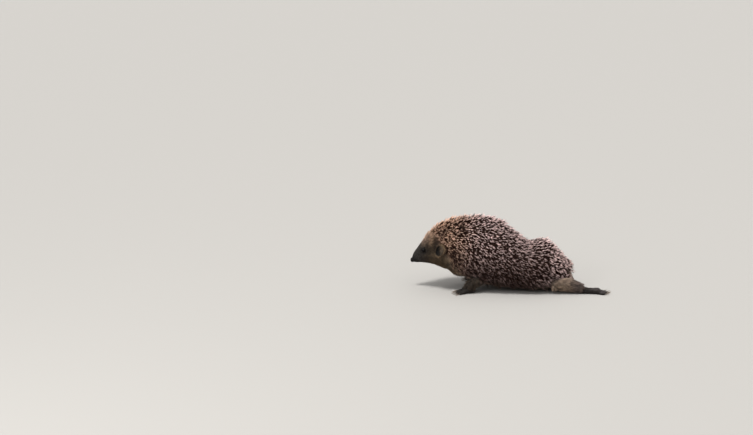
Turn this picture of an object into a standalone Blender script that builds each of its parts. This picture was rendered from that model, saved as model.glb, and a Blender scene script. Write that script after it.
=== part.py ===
"""European hedgehog, life size, stretched out as it climbs: forefeet planted, head low, left hind leg trailing.

Metres, +Z up, floor at Z = 0. The head points to -X and the animal's left side faces -Y.
The origin is the middle of the footprint of its bounding box. Sizes below are in millimetres from the
nose tip, so that a place reads as "so far behind the nose", and MM and NOSE_X turn them into metres.
"""

import math
from collections import namedtuple

import bmesh
import bpy
import numpy as np
from mathutils import Matrix, Vector

MM = 0.001
NOSE_X = -0.154316  # where the nose tip stands, which centres the footprint on X = 0
GAP = 0.35 * MM  # clearance between one solid and its neighbour
LIMB_GAP = 0.5 * MM  # clearance round a limb or foot, whose faces are larger
SIDES = {"left": -1, "right": 1}  # sign of Y

# The outline of the coat, out to the tips of spines and fur, as sections from the nose to the rump.
# top and bottom are (behind the nose, height); widest is how far up the section its widest place is;
# margin is the angle above the widest place at which the spines end and the fur begins (90: no spines);
# over and under are the powers of the rounded shape above and below: 2 is an ellipse, more is squarer.
Section = namedtuple("Section", "name top bottom half_width widest margin over under")
SECTIONS = (
    Section("nose base", (2.0, 47.0), (4.2, 39.6), 3.7, 0.50, 90, 2.0, 2.2),
    Section("muzzle front", (5.2, 54.2), (9.0, 39.4), 5.3, 0.48, 90, 2.0, 2.3),
    Section("muzzle", (11.0, 63.0), (16.5, 39.6), 7.7, 0.47, 90, 2.0, 2.3),
    Section("eyes", (18.6, 73.6), (26.0, 39.4), 13.4, 0.46, 90, 2.0, 2.3),
    Section("brow", (27.2, 85.2), (36.0, 38.2), 20.0, 0.46, 90, 2.0, 2.3),
    Section("crown and ears", (40.0, 95.2), (47.0, 35.0), 27.0, 0.44, 26, 2.0, 2.3),
    Section("nape", (57.0, 103.4), (60.0, 29.0), 33.5, 0.43, -19, 2.05, 2.3),
    Section("shoulder front", (78.0, 110.0), (76.0, 22.5), 39.5, 0.43, -38, 2.1, 2.4),
    Section("shoulder hump", (104.0, 114.2), (99.0, 14.0), 45.5, 0.43, -47, 2.15, 2.6),
    Section("back", (131.0, 109.6), (123.0, 9.0), 49.5, 0.43, -50, 2.2, 2.8),
    Section("middle", (156.0, 93.6), (149.0, 6.2), 52.0, 0.43, -52, 2.2, 2.9),
    Section("saddle", (181.5, 73.0), (176.0, 4.6), 53.0, 0.43, -52, 2.2, 2.9),
    Section("hips", (201.5, 76.8), (202.0, 3.8), 51.5, 0.43, -48, 2.2, 2.9),
    Section("rump", (225.5, 61.8), (222.0, 5.2), 44.5, 0.44, -34, 2.15, 2.6),
    Section("rump back", (240.0, 44.0), (237.0, 10.5), 31.0, 0.46, -12, 2.05, 2.3),
    Section("tail base", (246.6, 31.5), (245.4, 17.0), 15.5, 0.50, 0, 2.0, 2.1),
    Section("rump end", (248.4, 26.0), (248.2, 22.5), 4.0, 0.50, 0, 2.0, 2.0),
)
MANTLE_START = 4.0  # counted in sections: the spines begin in a point over the brow
HEAD_END = 5.62
NECK_END = 7.0
BODY_END = len(SECTIONS) - 1
RINGS_PER_SECTION = 2  # shared by every piece, so that two pieces that meet curve alike

# Joints of the limbs: (behind the nose, out from the middle, height, radius).
SHOULDER, ELBOW, WRIST = (97, 15, 46, 12.0), (105, 31, 23.5, 10.5), (91, 34.5, 9.8, 7.6)
HIP, KNEE, ANKLE = (212, 18, 33, 13.0), (203, 36.5, 18.5, 10.5), (230, 37.5, 11.0, 6.8)
TRAILING_KNEE, TRAILING_ANKLE = (223, 35.5, 16.0, 12.0), (259, 38.0, 8.6, 6.9)
FOREFOOT_LAG = {"left": 0.0, "right": 18.0}  # mid-stride, the right forefoot stands further back

# Feet: a heel and a ball with a fan of toes, all resting on the floor.
# claw_lift is how far above the middle of its toe a claw leaves it, in mm, and claw_droop how far its tip
# comes down, as a share of its length. The trailing foot lies sole up, so its claws curve up.
Foot = namedtuple("Foot", "heel ball half_palm toe_length toe_radius fan claw_length claw_lift claw_droop")
FOREFOOT = Foot((94.0, 35.0, 4.9, 5.6), (82.5, 37.0, 3.9, 4.4), 7.6, 10.0, 2.05, 27, 8.0, 0.5, 0.42)
HINDFOOT = Foot((236.0, 38.0, 4.6, 5.0), (210.0, 40.0, 3.8, 4.2), 6.8, 10.0, 2.0, 19, 7.0, 0.5, 0.42)
TRAILING_FOOT = Foot((266.5, 38.5, 4.9, 5.3), (289.55, 39.5, 3.8, 4.2), 6.8, 10.0, 2.0, 19, 7.0, -0.4, -0.24)
TOES = 5
SHORTER_OUTER_TOES = 0.3  # how much of its length a toe loses from the middle of the fan to its edge
SHORTER_THUMB = 0.16  # what the innermost toe loses besides
TOE_ROOT_SPREAD = 0.85  # how far over the palm the toes' roots are set out, as a share of its half width
TOE_ROOT_HEIGHT, TOE_END_HEIGHT = 1.15, 0.92  # in radii of the toe; its end dips so that its pad is flat
TOE_ROOT_GIRTH = 1.1  # a toe's radius at its root against its end
PALM_EDGE = 2.2 * MM  # how far the palm's side beads are set in from its edge
PALM_EDGE_GIRTH, PALM_GIRTH = 0.9, 1.05  # against the ball's radius
CLAW_RADIUS = 1.0 * MM
CLAW_CLEARANCE = 0.35 * MM  # between a claw's underside and the floor
CLAW_TIP = 0.3  # share of the root's radius left at the tip
CLAW_ROOT_IN_TOE = 1.6 * MM

NOSE_CENTRE, NOSE_RADII = (3.7, 43.2), (3.7, 3.75, 3.9)  # front of it at 0
NOSE_TILT = 30.0
EYE_RADIUS = 2.9 * MM
EYE_AT, EYE_ANGLE, EYE_PROUD = 2.86, 22.0, 0.9 * MM
EAR_AT, EAR_ANGLE = 4.95, 1.0
EAR_HALF_WIDTH, EAR_HALF_HEIGHT = 7.8 * MM, 9.2 * MM
EAR_CUP, EAR_THICKNESS = 4.2 * MM, 2.2 * MM
EAR_SPLAY, EAR_LEAN = 52.0, 24.0  # degrees it turns out from facing ahead, and leans back
EAR_FROM_ROOT = (1.0 * MM, 2.2 * MM, 3.0 * MM)  # its middle from the point of the coat it grows at: back, out and up
EAR_NARROWING = 0.16  # how much narrower it is where it meets the head
FOOT_VOXEL, LEG_VOXEL, TAIL_VOXEL = 0.75 * MM, 2.0 * MM, 1.0 * MM  # cells in which their beads are fused
TAIL = ((243, 0, 19, 4.2), (251, 1, 11, 3.3), (259, 2.5, 4.6, 2.3))

COAT_COLOUR = {
    "mantle": (0.115, 0.068, 0.048, 1),
    "fur": (0.095, 0.067, 0.045, 1),
    "face": (0.042, 0.033, 0.025, 1),
    "leg": (0.085, 0.064, 0.050, 1),
    "foot": (0.030, 0.026, 0.022, 1),
    "claw": (0.120, 0.095, 0.070, 1),
    "wet black": (0.008, 0.008, 0.009, 1),
}
COAT_ROUGHNESS = {"wet black": 0.12, "claw": 0.35}


def clear_scene():
    for old in list(bpy.data.objects):
        bpy.data.objects.remove(old, do_unlink=True)


def new_collection(name):
    made = bpy.data.collections.new(name)
    bpy.context.scene.collection.children.link(made)
    return made


clear_scene()
HEDGEHOG = new_collection("Hedgehog")
CUTTERS = new_collection("Cutters")


def coat_material(name):
    found = bpy.data.materials.get(name)
    if found:
        return found
    made = bpy.data.materials.new(name)
    made.use_nodes = True
    shader = made.node_tree.nodes["Principled BSDF"]
    shader.inputs["Base Color"].default_value = COAT_COLOUR[name]
    shader.inputs["Roughness"].default_value = COAT_ROUGHNESS.get(name, 0.8)
    return made


def add_object(name, mesh, material):
    made = bpy.data.objects.new(name, mesh)
    mesh.materials.clear()
    mesh.materials.append(coat_material(material))
    mesh.shade_smooth()
    HEDGEHOG.objects.link(made)
    return made


def mesh_from(bm, name):
    mesh = bpy.data.meshes.new(name)
    bmesh.ops.recalc_face_normals(bm, faces=bm.faces)
    bm.to_mesh(mesh)
    bm.free()
    return mesh


def place(behind_nose, out, height):
    """A point in metres from a place in millimetres behind the nose tip."""
    return Vector((NOSE_X + behind_nose * MM, out * MM, height * MM))


# --- the body: sections lofted from the nose to the rump -------------------------------------------


SECTION_ROWS = np.array([(*s.top, *s.bottom, *s[3:]) for s in SECTIONS])


def section_row(t):
    """The sizes of the section t sections behind the nose base, on a smooth curve through them all."""
    i = min(int(t), BODY_END - 1)
    f = t - i
    before, here, there, beyond = SECTION_ROWS[np.clip((i - 1, i, i + 1, i + 2), 0, BODY_END)]
    return 0.5 * (
        2 * here
        + (there - before) * f
        + (2 * before - 5 * here + 4 * there - beyond) * f**2
        + (3 * here - before - 3 * there + beyond) * f**3
    )


def coat_point(t, angle, lift=0.0):
    """A point on the coat's outline: section t, at an angle in degrees above its widest place on the right.
    lift moves it along the section's own up direction, in metres."""
    top_x, top_z, bottom_x, bottom_z, half_width, widest, _, over, under = section_row(t)
    top, bottom = place(top_x, 0, top_z), place(bottom_x, 0, bottom_z)
    up = (top - bottom).normalized()
    reach = (top - bottom).length
    middle = bottom + up * reach * widest
    cos, sin = math.cos(math.radians(angle)), math.sin(math.radians(angle))
    power = 2 / (over if sin >= 0 else under)
    rise = (reach * (1 - widest) if sin >= 0 else reach * widest) * math.copysign(abs(sin) ** power, sin)
    out = half_width * MM * math.copysign(abs(cos) ** power, cos)
    return middle + up * (rise + lift) + Vector((0, out, 0))


def arc(t, above_margin, count):
    """A section's outline on one side of the line that joins the spines' two margins."""
    margin = min(section_row(t)[6], 90.0)
    start, end = (margin, 180 - margin) if above_margin else (margin, -180 - margin)
    lift = GAP / 2 if above_margin else -GAP / 2
    closed = not above_margin and margin > 89.9
    return [
        coat_point(t, start + (end - start) * k / (count - 1), 0 if closed else lift)
        for k in range(count)
    ]


def lofted(name, rings, material):
    """A closed solid through rings of equal length, with a flat cap at each end."""
    bm = bmesh.new()
    rows = [[bm.verts.new(point) for point in ring] for ring in rings]
    for row, following in zip(rows, rows[1:]):
        for k in range(len(row)):
            after = (k + 1) % len(row)
            bm.faces.new((row[k], row[after], following[after], following[k]))
    bm.faces.new(rows[0])
    bm.faces.new(rows[-1])
    bmesh.ops.remove_doubles(bm, verts=bm.verts, dist=0.02 * MM)
    bmesh.ops.dissolve_degenerate(bm, dist=0.01 * MM, edges=bm.edges)
    return add_object(name, mesh_from(bm, name), material)


def half_gap_in_sections(t):
    """Half the clearance, as a share of the space between two sections, where they stand closest."""
    here, there = section_row(t - 0.1), section_row(t + 0.1)
    space = min(np.hypot(*(there[k : k + 2] - here[k : k + 2])) for k in (0, 2)) / 0.2
    return GAP / 2 / (space * MM)


def body_piece(name, start, end, above_margin, count, material):
    """The coat from section start to section end, above or below the spines' margin."""
    if start in (HEAD_END, NECK_END):
        start += half_gap_in_sections(start)
    if end in (HEAD_END, NECK_END):
        end -= half_gap_in_sections(end)
    shared = np.arange(0, BODY_END, 1 / RINGS_PER_SECTION)
    inner = [t for t in shared if start + 0.04 < t < end - 0.04]
    return lofted(name, [arc(t, above_margin, count) for t in (start, *inner, end)], material)


def outward(t, angle):
    """The direction straight out of the coat at a point."""
    step = 0.05
    along = coat_point(t + step, angle) - coat_point(t - step, angle)
    around = coat_point(t, angle + 2) - coat_point(t, angle - 2)
    normal = around.cross(along).normalized()
    return normal if normal.y > 0 else -normal


# --- solids of rounded rods: limbs, feet, tail -----------------------------------------------------


def bead(bm, centre, radius, segments=14):
    made = bmesh.ops.create_uvsphere(
        bm, u_segments=segments, v_segments=segments // 2, radius=radius, matrix=Matrix.Translation(centre)
    )
    return made["verts"]


def rod(bm, start, start_radius, end, end_radius):
    """A rounded rod that tapers from one radius to another: the hull of its two end beads."""
    part = bmesh.new()
    verts = bead(part, start, start_radius) + bead(part, end, end_radius)
    hull = bmesh.ops.convex_hull(part, input=verts)
    spare = {v for v in hull["geom_interior"] + hull["geom_unused"] if isinstance(v, bmesh.types.BMVert)}
    bmesh.ops.delete(part, geom=list(spare), context="VERTS")
    piece = bpy.data.meshes.new("rod")
    part.to_mesh(piece)
    part.free()
    bm.from_mesh(piece)
    bpy.data.meshes.remove(piece)


def fused(name, bm, material, voxel, faces, smoothing=6):
    """The rods in bm grown together into one smooth skin of about that many faces, flat where it meets the floor."""
    rough = bpy.data.objects.new(name + "_rough", mesh_from(bm, name + "_rough"))
    CUTTERS.objects.link(rough)
    remesh = rough.modifiers.new("grow together", "REMESH")
    remesh.mode, remesh.voxel_size = "VOXEL", voxel
    smooth = rough.modifiers.new("smooth", "SMOOTH")
    smooth.iterations, smooth.factor = smoothing, 0.5
    bpy.context.view_layer.update()
    count = len(rough.evaluated_get(bpy.context.evaluated_depsgraph_get()).data.polygons) * 2
    thin = rough.modifiers.new("fewer faces", "DECIMATE")
    thin.ratio = min(1.0, faces / count)
    graph = bpy.context.evaluated_depsgraph_get()
    mesh = bpy.data.meshes.new_from_object(rough.evaluated_get(graph))
    mesh.name = name
    bpy.data.objects.remove(rough)
    flat = bmesh.new()
    flat.from_mesh(mesh)
    geometry = flat.verts[:] + flat.edges[:] + flat.faces[:]
    cut = bmesh.ops.bisect_plane(
        flat, geom=geometry, dist=0.02 * MM, plane_co=(0, 0, 0), plane_no=(0, 0, -1), clear_outer=True
    )
    rim = [e for e in cut["geom_cut"] if isinstance(e, bmesh.types.BMEdge)]
    if rim:
        for vert in flat.verts:
            vert.co.z = 0.0 if vert.co.z < 0.02 * MM else vert.co.z
        bmesh.ops.holes_fill(flat, edges=[e for e in flat.edges if e.is_boundary])
    bmesh.ops.recalc_face_normals(flat, faces=flat.faces)
    flat.to_mesh(mesh)
    flat.free()
    return add_object(name, mesh, material)


def joint_at(joint, side, lag=0.0):
    x, y, z, radius = joint
    return place(x + lag, y * SIDES[side], z), radius * MM


def leg(name, joints, side, lags, faces=210):
    """A leg through its joints, from the shoulder or hip down to the ankle."""
    bm = bmesh.new()
    beads = [joint_at(joint, side, lag) for joint, lag in zip(joints, lags)]
    for (start, start_radius), (end, end_radius) in zip(beads, beads[1:]):
        rod(bm, start, start_radius, end, end_radius)
    return fused(name, bm, "leg", LEG_VOXEL, faces)


def toe_line(foot, side, lag, toe):
    """Where a toe starts, where it ends, and the way it points."""
    heel, _ = joint_at(foot.heel, side, lag)
    ball, _ = joint_at(foot.ball, side, lag)
    across = toe / (TOES - 1) * 2 - 1  # -1 for the innermost toe, 1 for the outermost
    ahead = (ball - heel).normalized()
    ahead.z = 0
    sideways = Vector((0, SIDES[side], 0))
    turn = math.radians(foot.fan * across)
    way = (ahead * math.cos(turn) + sideways * math.sin(turn)).normalized()
    start = ball + sideways * (foot.half_palm * MM * across * TOE_ROOT_SPREAD)
    start.z = foot.toe_radius * MM * TOE_ROOT_HEIGHT
    shortening = SHORTER_OUTER_TOES * across**2 + (SHORTER_THUMB if toe == 0 else 0.0)
    end = start + way * foot.toe_length * MM * (1 - shortening)
    end.z = foot.toe_radius * MM * TOE_END_HEIGHT
    return start, end, way


def foot_solid(name, foot, side, lag, faces=380):
    """A foot: heel, palm and five toes, grown together."""
    bm = bmesh.new()
    heel, heel_radius = joint_at(foot.heel, side, lag)
    ball, ball_radius = joint_at(foot.ball, side, lag)
    for edge in (-1, 1):
        edge_ball = ball + Vector((0, edge * (foot.half_palm * MM - PALM_EDGE), 0))
        rod(bm, heel, heel_radius, edge_ball, ball_radius * PALM_EDGE_GIRTH)
    rod(bm, heel, heel_radius, ball, ball_radius * PALM_GIRTH)
    for toe in range(TOES):
        start, end, _ = toe_line(foot, side, lag, toe)
        rod(bm, start, foot.toe_radius * MM * TOE_ROOT_GIRTH, end, foot.toe_radius * MM)
    return fused(name, bm, "foot", FOOT_VOXEL, faces, smoothing=3)


def claw(name, foot, side, lag, toe):
    """A claw that tapers and curves down from the end of its toe, and a wider copy to seat it with."""
    _, end, way = toe_line(foot, side, lag, toe)
    root = end + way * (foot.toe_radius * MM - CLAW_ROOT_IN_TOE) + Vector((0, 0, foot.claw_lift * MM))
    length = foot.claw_length * MM + CLAW_ROOT_IN_TOE
    steps = 4
    made = []
    for grow in (0.0, GAP):
        spline_data = bpy.data.curves.new(name, "CURVE")
        spline_data.dimensions = "3D"
        spline_data.bevel_depth = CLAW_RADIUS
        spline_data.bevel_resolution = 1
        spline_data.use_fill_caps = True
        spline = spline_data.splines.new("POLY")
        spline.points.add(steps - 1)
        for k in range(steps):
            share = k / (steps - 1)
            drop = foot.claw_droop * length * share**2
            point = root + way * (length * share) - Vector((0, 0, drop))
            radius = CLAW_RADIUS * (1 - (1 - CLAW_TIP) * share**1.3) + grow
            point.z = max(point.z, radius - grow + CLAW_CLEARANCE)
            spline.points[k].co = (*point, 1)
            spline.points[k].radius = radius / CLAW_RADIUS
        rough = bpy.data.objects.new(name + "_rough", spline_data)
        CUTTERS.objects.link(rough)
        bpy.context.view_layer.update()
        graph = bpy.context.evaluated_depsgraph_get()
        mesh = bpy.data.meshes.new_from_object(rough.evaluated_get(graph))
        bpy.data.objects.remove(rough)
        welded = bmesh.new()
        welded.from_mesh(mesh)
        bmesh.ops.remove_doubles(welded, verts=welded.verts, dist=0.01 * MM)
        welded.to_mesh(mesh)
        welded.free()
        mesh.name = name
        made.append(mesh)
    solid = add_object(name, made[0], "claw")
    return solid, cutter_from_mesh(name + "_seat", made[1])


# --- carving one solid to clear another ------------------------------------------------------------


def cutter_from_mesh(name, mesh):
    cutter = bpy.data.objects.new(name, mesh)
    CUTTERS.objects.link(cutter)
    cutter.hide_render = True
    cutter.display_type = "WIRE"
    return cutter


def wider_copy(solid, grow=GAP):
    """A copy of a solid grown by the clearance, to carve its neighbours with."""
    cutter = cutter_from_mesh(solid.name + "_seat", solid.data.copy())
    cutter.matrix_world = solid.matrix_world
    grown = cutter.modifiers.new("clearance", "DISPLACE")
    grown.strength, grown.mid_level = grow, 0.0
    return cutter


def carve(solid, *cutters):
    for cutter in cutters:
        cut = solid.modifiers.new("clear of " + cutter.name, "BOOLEAN")
        cut.operation, cut.solver, cut.object = "DIFFERENCE", "EXACT", cutter


# --- nose, eyes and ears ---------------------------------------------------------------------------


def nose_pad():
    x, z = NOSE_CENTRE
    bm = bmesh.new()
    tilt = Matrix.Rotation(math.radians(NOSE_TILT), 4, "Y")
    scale = Matrix.Diagonal((*[r * MM for r in NOSE_RADII], 1))
    bmesh.ops.create_uvsphere(
        bm, u_segments=14, v_segments=8, radius=1, matrix=Matrix.Translation(place(x, 0, z)) @ tilt @ scale
    )
    return add_object("nose", mesh_from(bm, "nose"), "wet black")


def eye(side):
    """An eyeball that stands a little proud of the fur."""
    angle = EYE_ANGLE if side == "right" else 180 - EYE_ANGLE
    surface = coat_point(EYE_AT, angle)
    way = outward(EYE_AT, EYE_ANGLE)
    way.y *= SIDES[side]
    centre = surface - way * (EYE_RADIUS - EYE_PROUD)
    bm = bmesh.new()
    bmesh.ops.create_uvsphere(
        bm, u_segments=12, v_segments=8, radius=EYE_RADIUS, matrix=Matrix.Translation(centre)
    )
    return add_object("eye_" + side, mesh_from(bm, "eye"), "wet black")


def ear_mesh(side, grow=0.0):
    """A rounded, cupped ear: a shallow bowl of even thickness that faces ahead and outwards."""
    rings, spokes = 3, 14
    bm = bmesh.new()
    middle = bm.verts.new((0, EAR_CUP, 0))
    rows = []
    for ring in range(1, rings + 1):
        share = ring / rings
        row = []
        for k in range(spokes):
            turn = 2 * math.pi * k / spokes
            across, up = math.cos(turn), math.sin(turn)
            narrow = 1 - EAR_NARROWING * max(0.0, -up)
            depth = EAR_CUP * (1 - share**2)
            row.append(bm.verts.new((
                across * narrow * share * (EAR_HALF_WIDTH + grow),
                depth,
                up * share * (EAR_HALF_HEIGHT + grow),
            )))
        rows.append(row)
    for k in range(spokes):
        bm.faces.new((middle, rows[0][k], rows[0][(k + 1) % spokes]))
        for row, wider in zip(rows, rows[1:]):
            after = (k + 1) % spokes
            bm.faces.new((row[k], wider[k], wider[after], row[after]))
    mesh = mesh_from(bm, "ear_" + side)
    sign = SIDES[side]
    root = coat_point(EAR_AT, EAR_ANGLE if side == "right" else 180 - EAR_ANGLE)
    facing = Matrix.Rotation(math.radians(-sign * EAR_SPLAY), 4, "Z") @ Matrix.Rotation(math.pi / 2, 4, "Z")
    lean = Matrix.Rotation(math.radians(EAR_LEAN), 4, "Y")
    back, out, up = EAR_FROM_ROOT
    lifted = root + Vector((back, sign * out, up))
    flip = Matrix.Diagonal((1, -1, 1, 1))
    mesh.transform(Matrix.Translation(lifted) @ lean @ facing @ flip)
    return mesh


def ear(side):
    """An ear, and the full hollow it sits in, so that nothing of the head fills its cup."""
    name = "ear_" + side
    mesh = ear_mesh(side)
    solid = add_object(name, mesh, "face")
    seat = cutter_from_mesh(name + "_seat", ear_mesh(side, GAP))
    for shell_of, thickness in ((solid, EAR_THICKNESS), (seat, EAR_THICKNESS + 2 * GAP)):
        shell = shell_of.modifiers.new("thickness", "SOLIDIFY")
        shell.thickness, shell.offset = thickness, 0.0
    bpy.context.view_layer.update()
    graph = bpy.context.evaluated_depsgraph_get()
    shell_points = bmesh.new()
    shell_points.from_object(seat, graph)
    hollow = bmesh.new()
    corners = [hollow.verts.new(v.co) for v in shell_points.verts]
    shell_points.free()
    hull = bmesh.ops.convex_hull(hollow, input=corners)
    spare = {v for v in hull["geom_interior"] + hull["geom_unused"] if isinstance(v, bmesh.types.BMVert)}
    bmesh.ops.delete(hollow, geom=list(spare), context="VERTS")
    bpy.data.objects.remove(seat)
    return solid, cutter_from_mesh(name + "_seat", mesh_from(hollow, name + "_seat"))


# --- putting the animal together -------------------------------------------------------------------


def build():
    head = body_piece("head", 0.0, HEAD_END, False, 24, "face")
    neck = body_piece("neck", HEAD_END, NECK_END, False, 22, "fur")
    trunk = body_piece("trunk", NECK_END, BODY_END, False, 17, "fur")
    mantle = body_piece("mantle", MANTLE_START, BODY_END, True, 20, "mantle")
    body = (neck, trunk, mantle)

    nose = nose_pad()
    carve(head, wider_copy(nose))
    for side in SIDES:
        carve(head, wider_copy(eye(side)))
        _, seat = ear(side)
        for piece in (head, neck, mantle):
            carve(piece, seat)

    legs = {}
    feet = {}
    for side in SIDES:
        lag = FOREFOOT_LAG[side]
        legs["fore_" + side] = leg(f"leg_fore_{side}", (SHOULDER, ELBOW, WRIST), side, (0, lag / 2, lag))
        feet["fore_" + side] = (FOREFOOT, side, lag)
    legs["hind_right"] = leg("leg_hind_right", (HIP, KNEE, ANKLE), "right", (0, 0, 0))
    feet["hind_right"] = (HINDFOOT, "right", 0.0)
    legs["hind_left"] = leg("leg_hind_left", (HIP, TRAILING_KNEE, TRAILING_ANKLE), "left", (0, 0, 0))
    feet["hind_left"] = (TRAILING_FOOT, "left", 0.0)

    for where, (shape, side, lag) in feet.items():
        solid = foot_solid("foot_" + where, shape, side, lag)
        seat = wider_copy(solid, LIMB_GAP)
        carve(legs[where], seat)
        carve(trunk, seat)
        for toe in range(TOES):
            _, claw_seat = claw(f"claw_{where}_{toe + 1}", shape, side, lag, toe)
            carve(solid, claw_seat)
    for limb in legs.values():
        seat = wider_copy(limb, LIMB_GAP)
        for piece in body:
            carve(piece, seat)

    bm = bmesh.new()
    beads = [joint_at(joint, "right") for joint in TAIL]
    for (start, start_radius), (end, end_radius) in zip(beads, beads[1:]):
        rod(bm, start, start_radius, end, end_radius)
    tail = fused("tail", bm, "fur", TAIL_VOXEL, 90)
    seat = wider_copy(tail)
    for piece in (trunk, mantle):
        carve(piece, seat)


build()
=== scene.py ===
"""A still, life-size European hedgehog, as a museum shows one.

It has a skin, spines, fur, whiskers, eyes, a nose pad and claws. Metres, +Z up, nose towards -X. Sizes
named below are in millimetres unless they say otherwise.
"""

import logging
import math
import time
from collections.abc import Iterable
from dataclasses import dataclass, field
from enum import IntEnum

import bmesh
import bpy
import numpy as np
from bpy.types import Material, Mesh, Node, NodeSocket, NodeTree, Object
from mathutils import Matrix, Vector, noise
from mathutils.bvhtree import BVHTree
from mathutils.kdtree import KDTree


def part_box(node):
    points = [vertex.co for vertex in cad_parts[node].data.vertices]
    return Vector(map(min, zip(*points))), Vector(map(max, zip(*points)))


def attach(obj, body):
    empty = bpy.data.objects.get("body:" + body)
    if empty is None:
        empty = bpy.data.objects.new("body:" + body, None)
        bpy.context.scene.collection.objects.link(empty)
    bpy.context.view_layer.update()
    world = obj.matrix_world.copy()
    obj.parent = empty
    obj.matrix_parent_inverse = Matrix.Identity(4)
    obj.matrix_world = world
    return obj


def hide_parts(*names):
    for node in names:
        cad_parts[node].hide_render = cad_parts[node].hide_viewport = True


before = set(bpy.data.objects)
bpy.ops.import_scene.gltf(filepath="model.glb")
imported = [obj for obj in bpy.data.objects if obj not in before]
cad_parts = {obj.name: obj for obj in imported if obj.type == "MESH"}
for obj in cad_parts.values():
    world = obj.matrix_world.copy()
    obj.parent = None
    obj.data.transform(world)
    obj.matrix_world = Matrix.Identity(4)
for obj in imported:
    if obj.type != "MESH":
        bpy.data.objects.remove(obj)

MM = 0.001
BAKE_MAP = "OFBake"
PATCH = 0.003  # how much of the skin's unwrap one tuft or spine takes
log = logging.getLogger("hedgehog")


# --- plain helpers ---------------------------------------------------------------------------------


def linear(code: str) -> tuple[float, float, float, float]:
    """Turns an sRGB hex colour such as "#6a5145" to linear light, with alpha 1."""
    parts = [int(code[i:i + 2], 16) / 255 for i in (1, 3, 5)]
    return (*[p / 12.92 if p <= 0.04045 else ((p + 0.055) / 1.055) ** 2.4 for p in parts], 1.0)


def per_mm(size: float) -> float:
    """The texture scale, in object coordinates, of a pattern whose features are this many mm across."""
    return 1 / (size * MM)


def ramp(value: np.ndarray | float, start: float, end: float) -> np.ndarray | float:
    """Rises smoothly from 0 to 1.

    Args:
        value: one number or many.
        start: where it is still 0.
        end: where it reaches 1.

    Returns:
        The share for each number.
    """
    share = np.clip((value - start) / (end - start), 0.0, 1.0)
    return share * share * (3 - 2 * share)


def bell(value: np.ndarray, middle: float, width: float) -> np.ndarray:
    """Rises to 1 at the middle and falls to 0 on each side of it, over about twice the width."""
    return np.exp(-((value - middle) / width) ** 2)


def laid(ways: np.ndarray, normals: np.ndarray) -> np.ndarray:
    """The part of each way that runs along the surface, at length 1."""
    return unit(ways - normals * (ways * normals).sum(1)[:, None])


def mix(first: np.ndarray, second: np.ndarray, share: np.ndarray) -> np.ndarray:
    """Blends two colours, or rows of colours, by a share for each row."""
    return first + (np.asarray(second) - first) * np.asarray(share)[..., None]


def unit(vectors: np.ndarray) -> np.ndarray:
    """Each row at length 1."""
    return vectors / np.maximum(np.linalg.norm(vectors, axis=-1, keepdims=True), 1e-12)


def node(tree: NodeTree, kind: str, inputs: dict | None = None, stops: list | None = None,
         **settings: object) -> Node:
    """Adds one shader node.

    Args:
        tree: the material's nodes.
        kind: the node's type, without "ShaderNode".
        inputs: for each input, by name or number: a value, another node's output, or another node for
            its first output.
        stops: places and colours of a colour ramp.
        settings: the node's own properties.

    Returns:
        The new node.
    """
    made = tree.nodes.new("ShaderNode" + kind)
    for name, value in settings.items():
        setattr(made, name, value)
    for key, value in (inputs or {}).items():
        if isinstance(value, Node):
            value = value.outputs[0]
        if isinstance(value, NodeSocket):
            tree.links.new(value, made.inputs[key])
        else:
            made.inputs[key].default_value = value
    for i, (place, colour) in enumerate(stops or []):
        elements = made.color_ramp.elements
        stop = elements[i] if i < 2 else elements.new(place)
        stop.position, stop.color = place, colour
    return made


def add_piece(name: str, mesh: Mesh, material: Material) -> Object:
    """Puts a mesh in the scene as a piece of the animal, smooth shaded, riding on its one body.

    Args:
        name: the piece's name.
        mesh: its mesh, in the frame's coordinates.
        material: its finish.

    Returns:
        The new object.
    """
    piece = bpy.data.objects.new(name, mesh)
    bpy.context.scene.collection.objects.link(piece)
    mesh.materials.clear()
    mesh.materials.append(material)
    mesh.shade_smooth()
    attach(piece, "root")
    mesh.calc_loop_triangles()
    log.info("%s: %d triangles", name, len(mesh.loop_triangles))
    return piece


def read(items: bpy.types.bpy_prop_collection, name: str, width: int, kind: type = float) -> np.ndarray:
    """One property of every item.

    Args:
        items: such as a mesh's vertices.
        name: the property.
        width: how many numbers it has.
        kind: float or int.

    Returns:
        A row for each item.
    """
    values = np.empty(len(items) * width, dtype=np.float32 if kind is float else np.int32)
    items.foreach_get(name, values)
    return values.reshape(-1, width).astype(np.float64 if kind is float else np.int64)


def store(mesh: Mesh, name: str, values: np.ndarray) -> None:
    """Keeps a number or a colour for each point of a mesh, for its material to read.

    Args:
        mesh: the mesh.
        name: what the material calls it.
        values: one number or one colour for each point.
    """
    colour = values.ndim == 2
    made = mesh.attributes.new(name, "FLOAT_COLOR" if colour else "FLOAT", "POINT")
    if colour:
        values = np.concatenate([values[:, :3], np.ones((len(values), 1))], axis=1)
    made.data.foreach_set("color" if colour else "value", values.astype(np.float32).ravel())


def tree_of(points: np.ndarray) -> KDTree:
    """A search tree of points.

    Args:
        points: rows of coordinates, or a list of vectors.

    Returns:
        The tree, in which each point has its row's number.
    """
    tree = KDTree(len(points))
    for i, point in enumerate(points):
        tree.insert(point, i)
    tree.balance()
    return tree


def nearest_rows(tree: KDTree, points: np.ndarray) -> np.ndarray:
    """The row of the tree's point that is nearest to each point."""
    return np.array([tree.find(point)[1] for point in points])


def nearest_mm(tree: KDTree, points: np.ndarray) -> np.ndarray:
    """How far each point is from the nearest of the tree's, in mm."""
    return np.array([tree.find(point)[2] for point in points]) / MM


def mesh_of(bm: bmesh.types.BMesh, name: str) -> Mesh:
    """Turns a bmesh to a mesh.

    Args:
        bm: the bmesh, which is freed.
        name: what the mesh is called.

    Returns:
        The mesh.
    """
    mesh = bpy.data.meshes.new(name)
    bm.to_mesh(mesh)
    bm.free()
    return mesh


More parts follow.
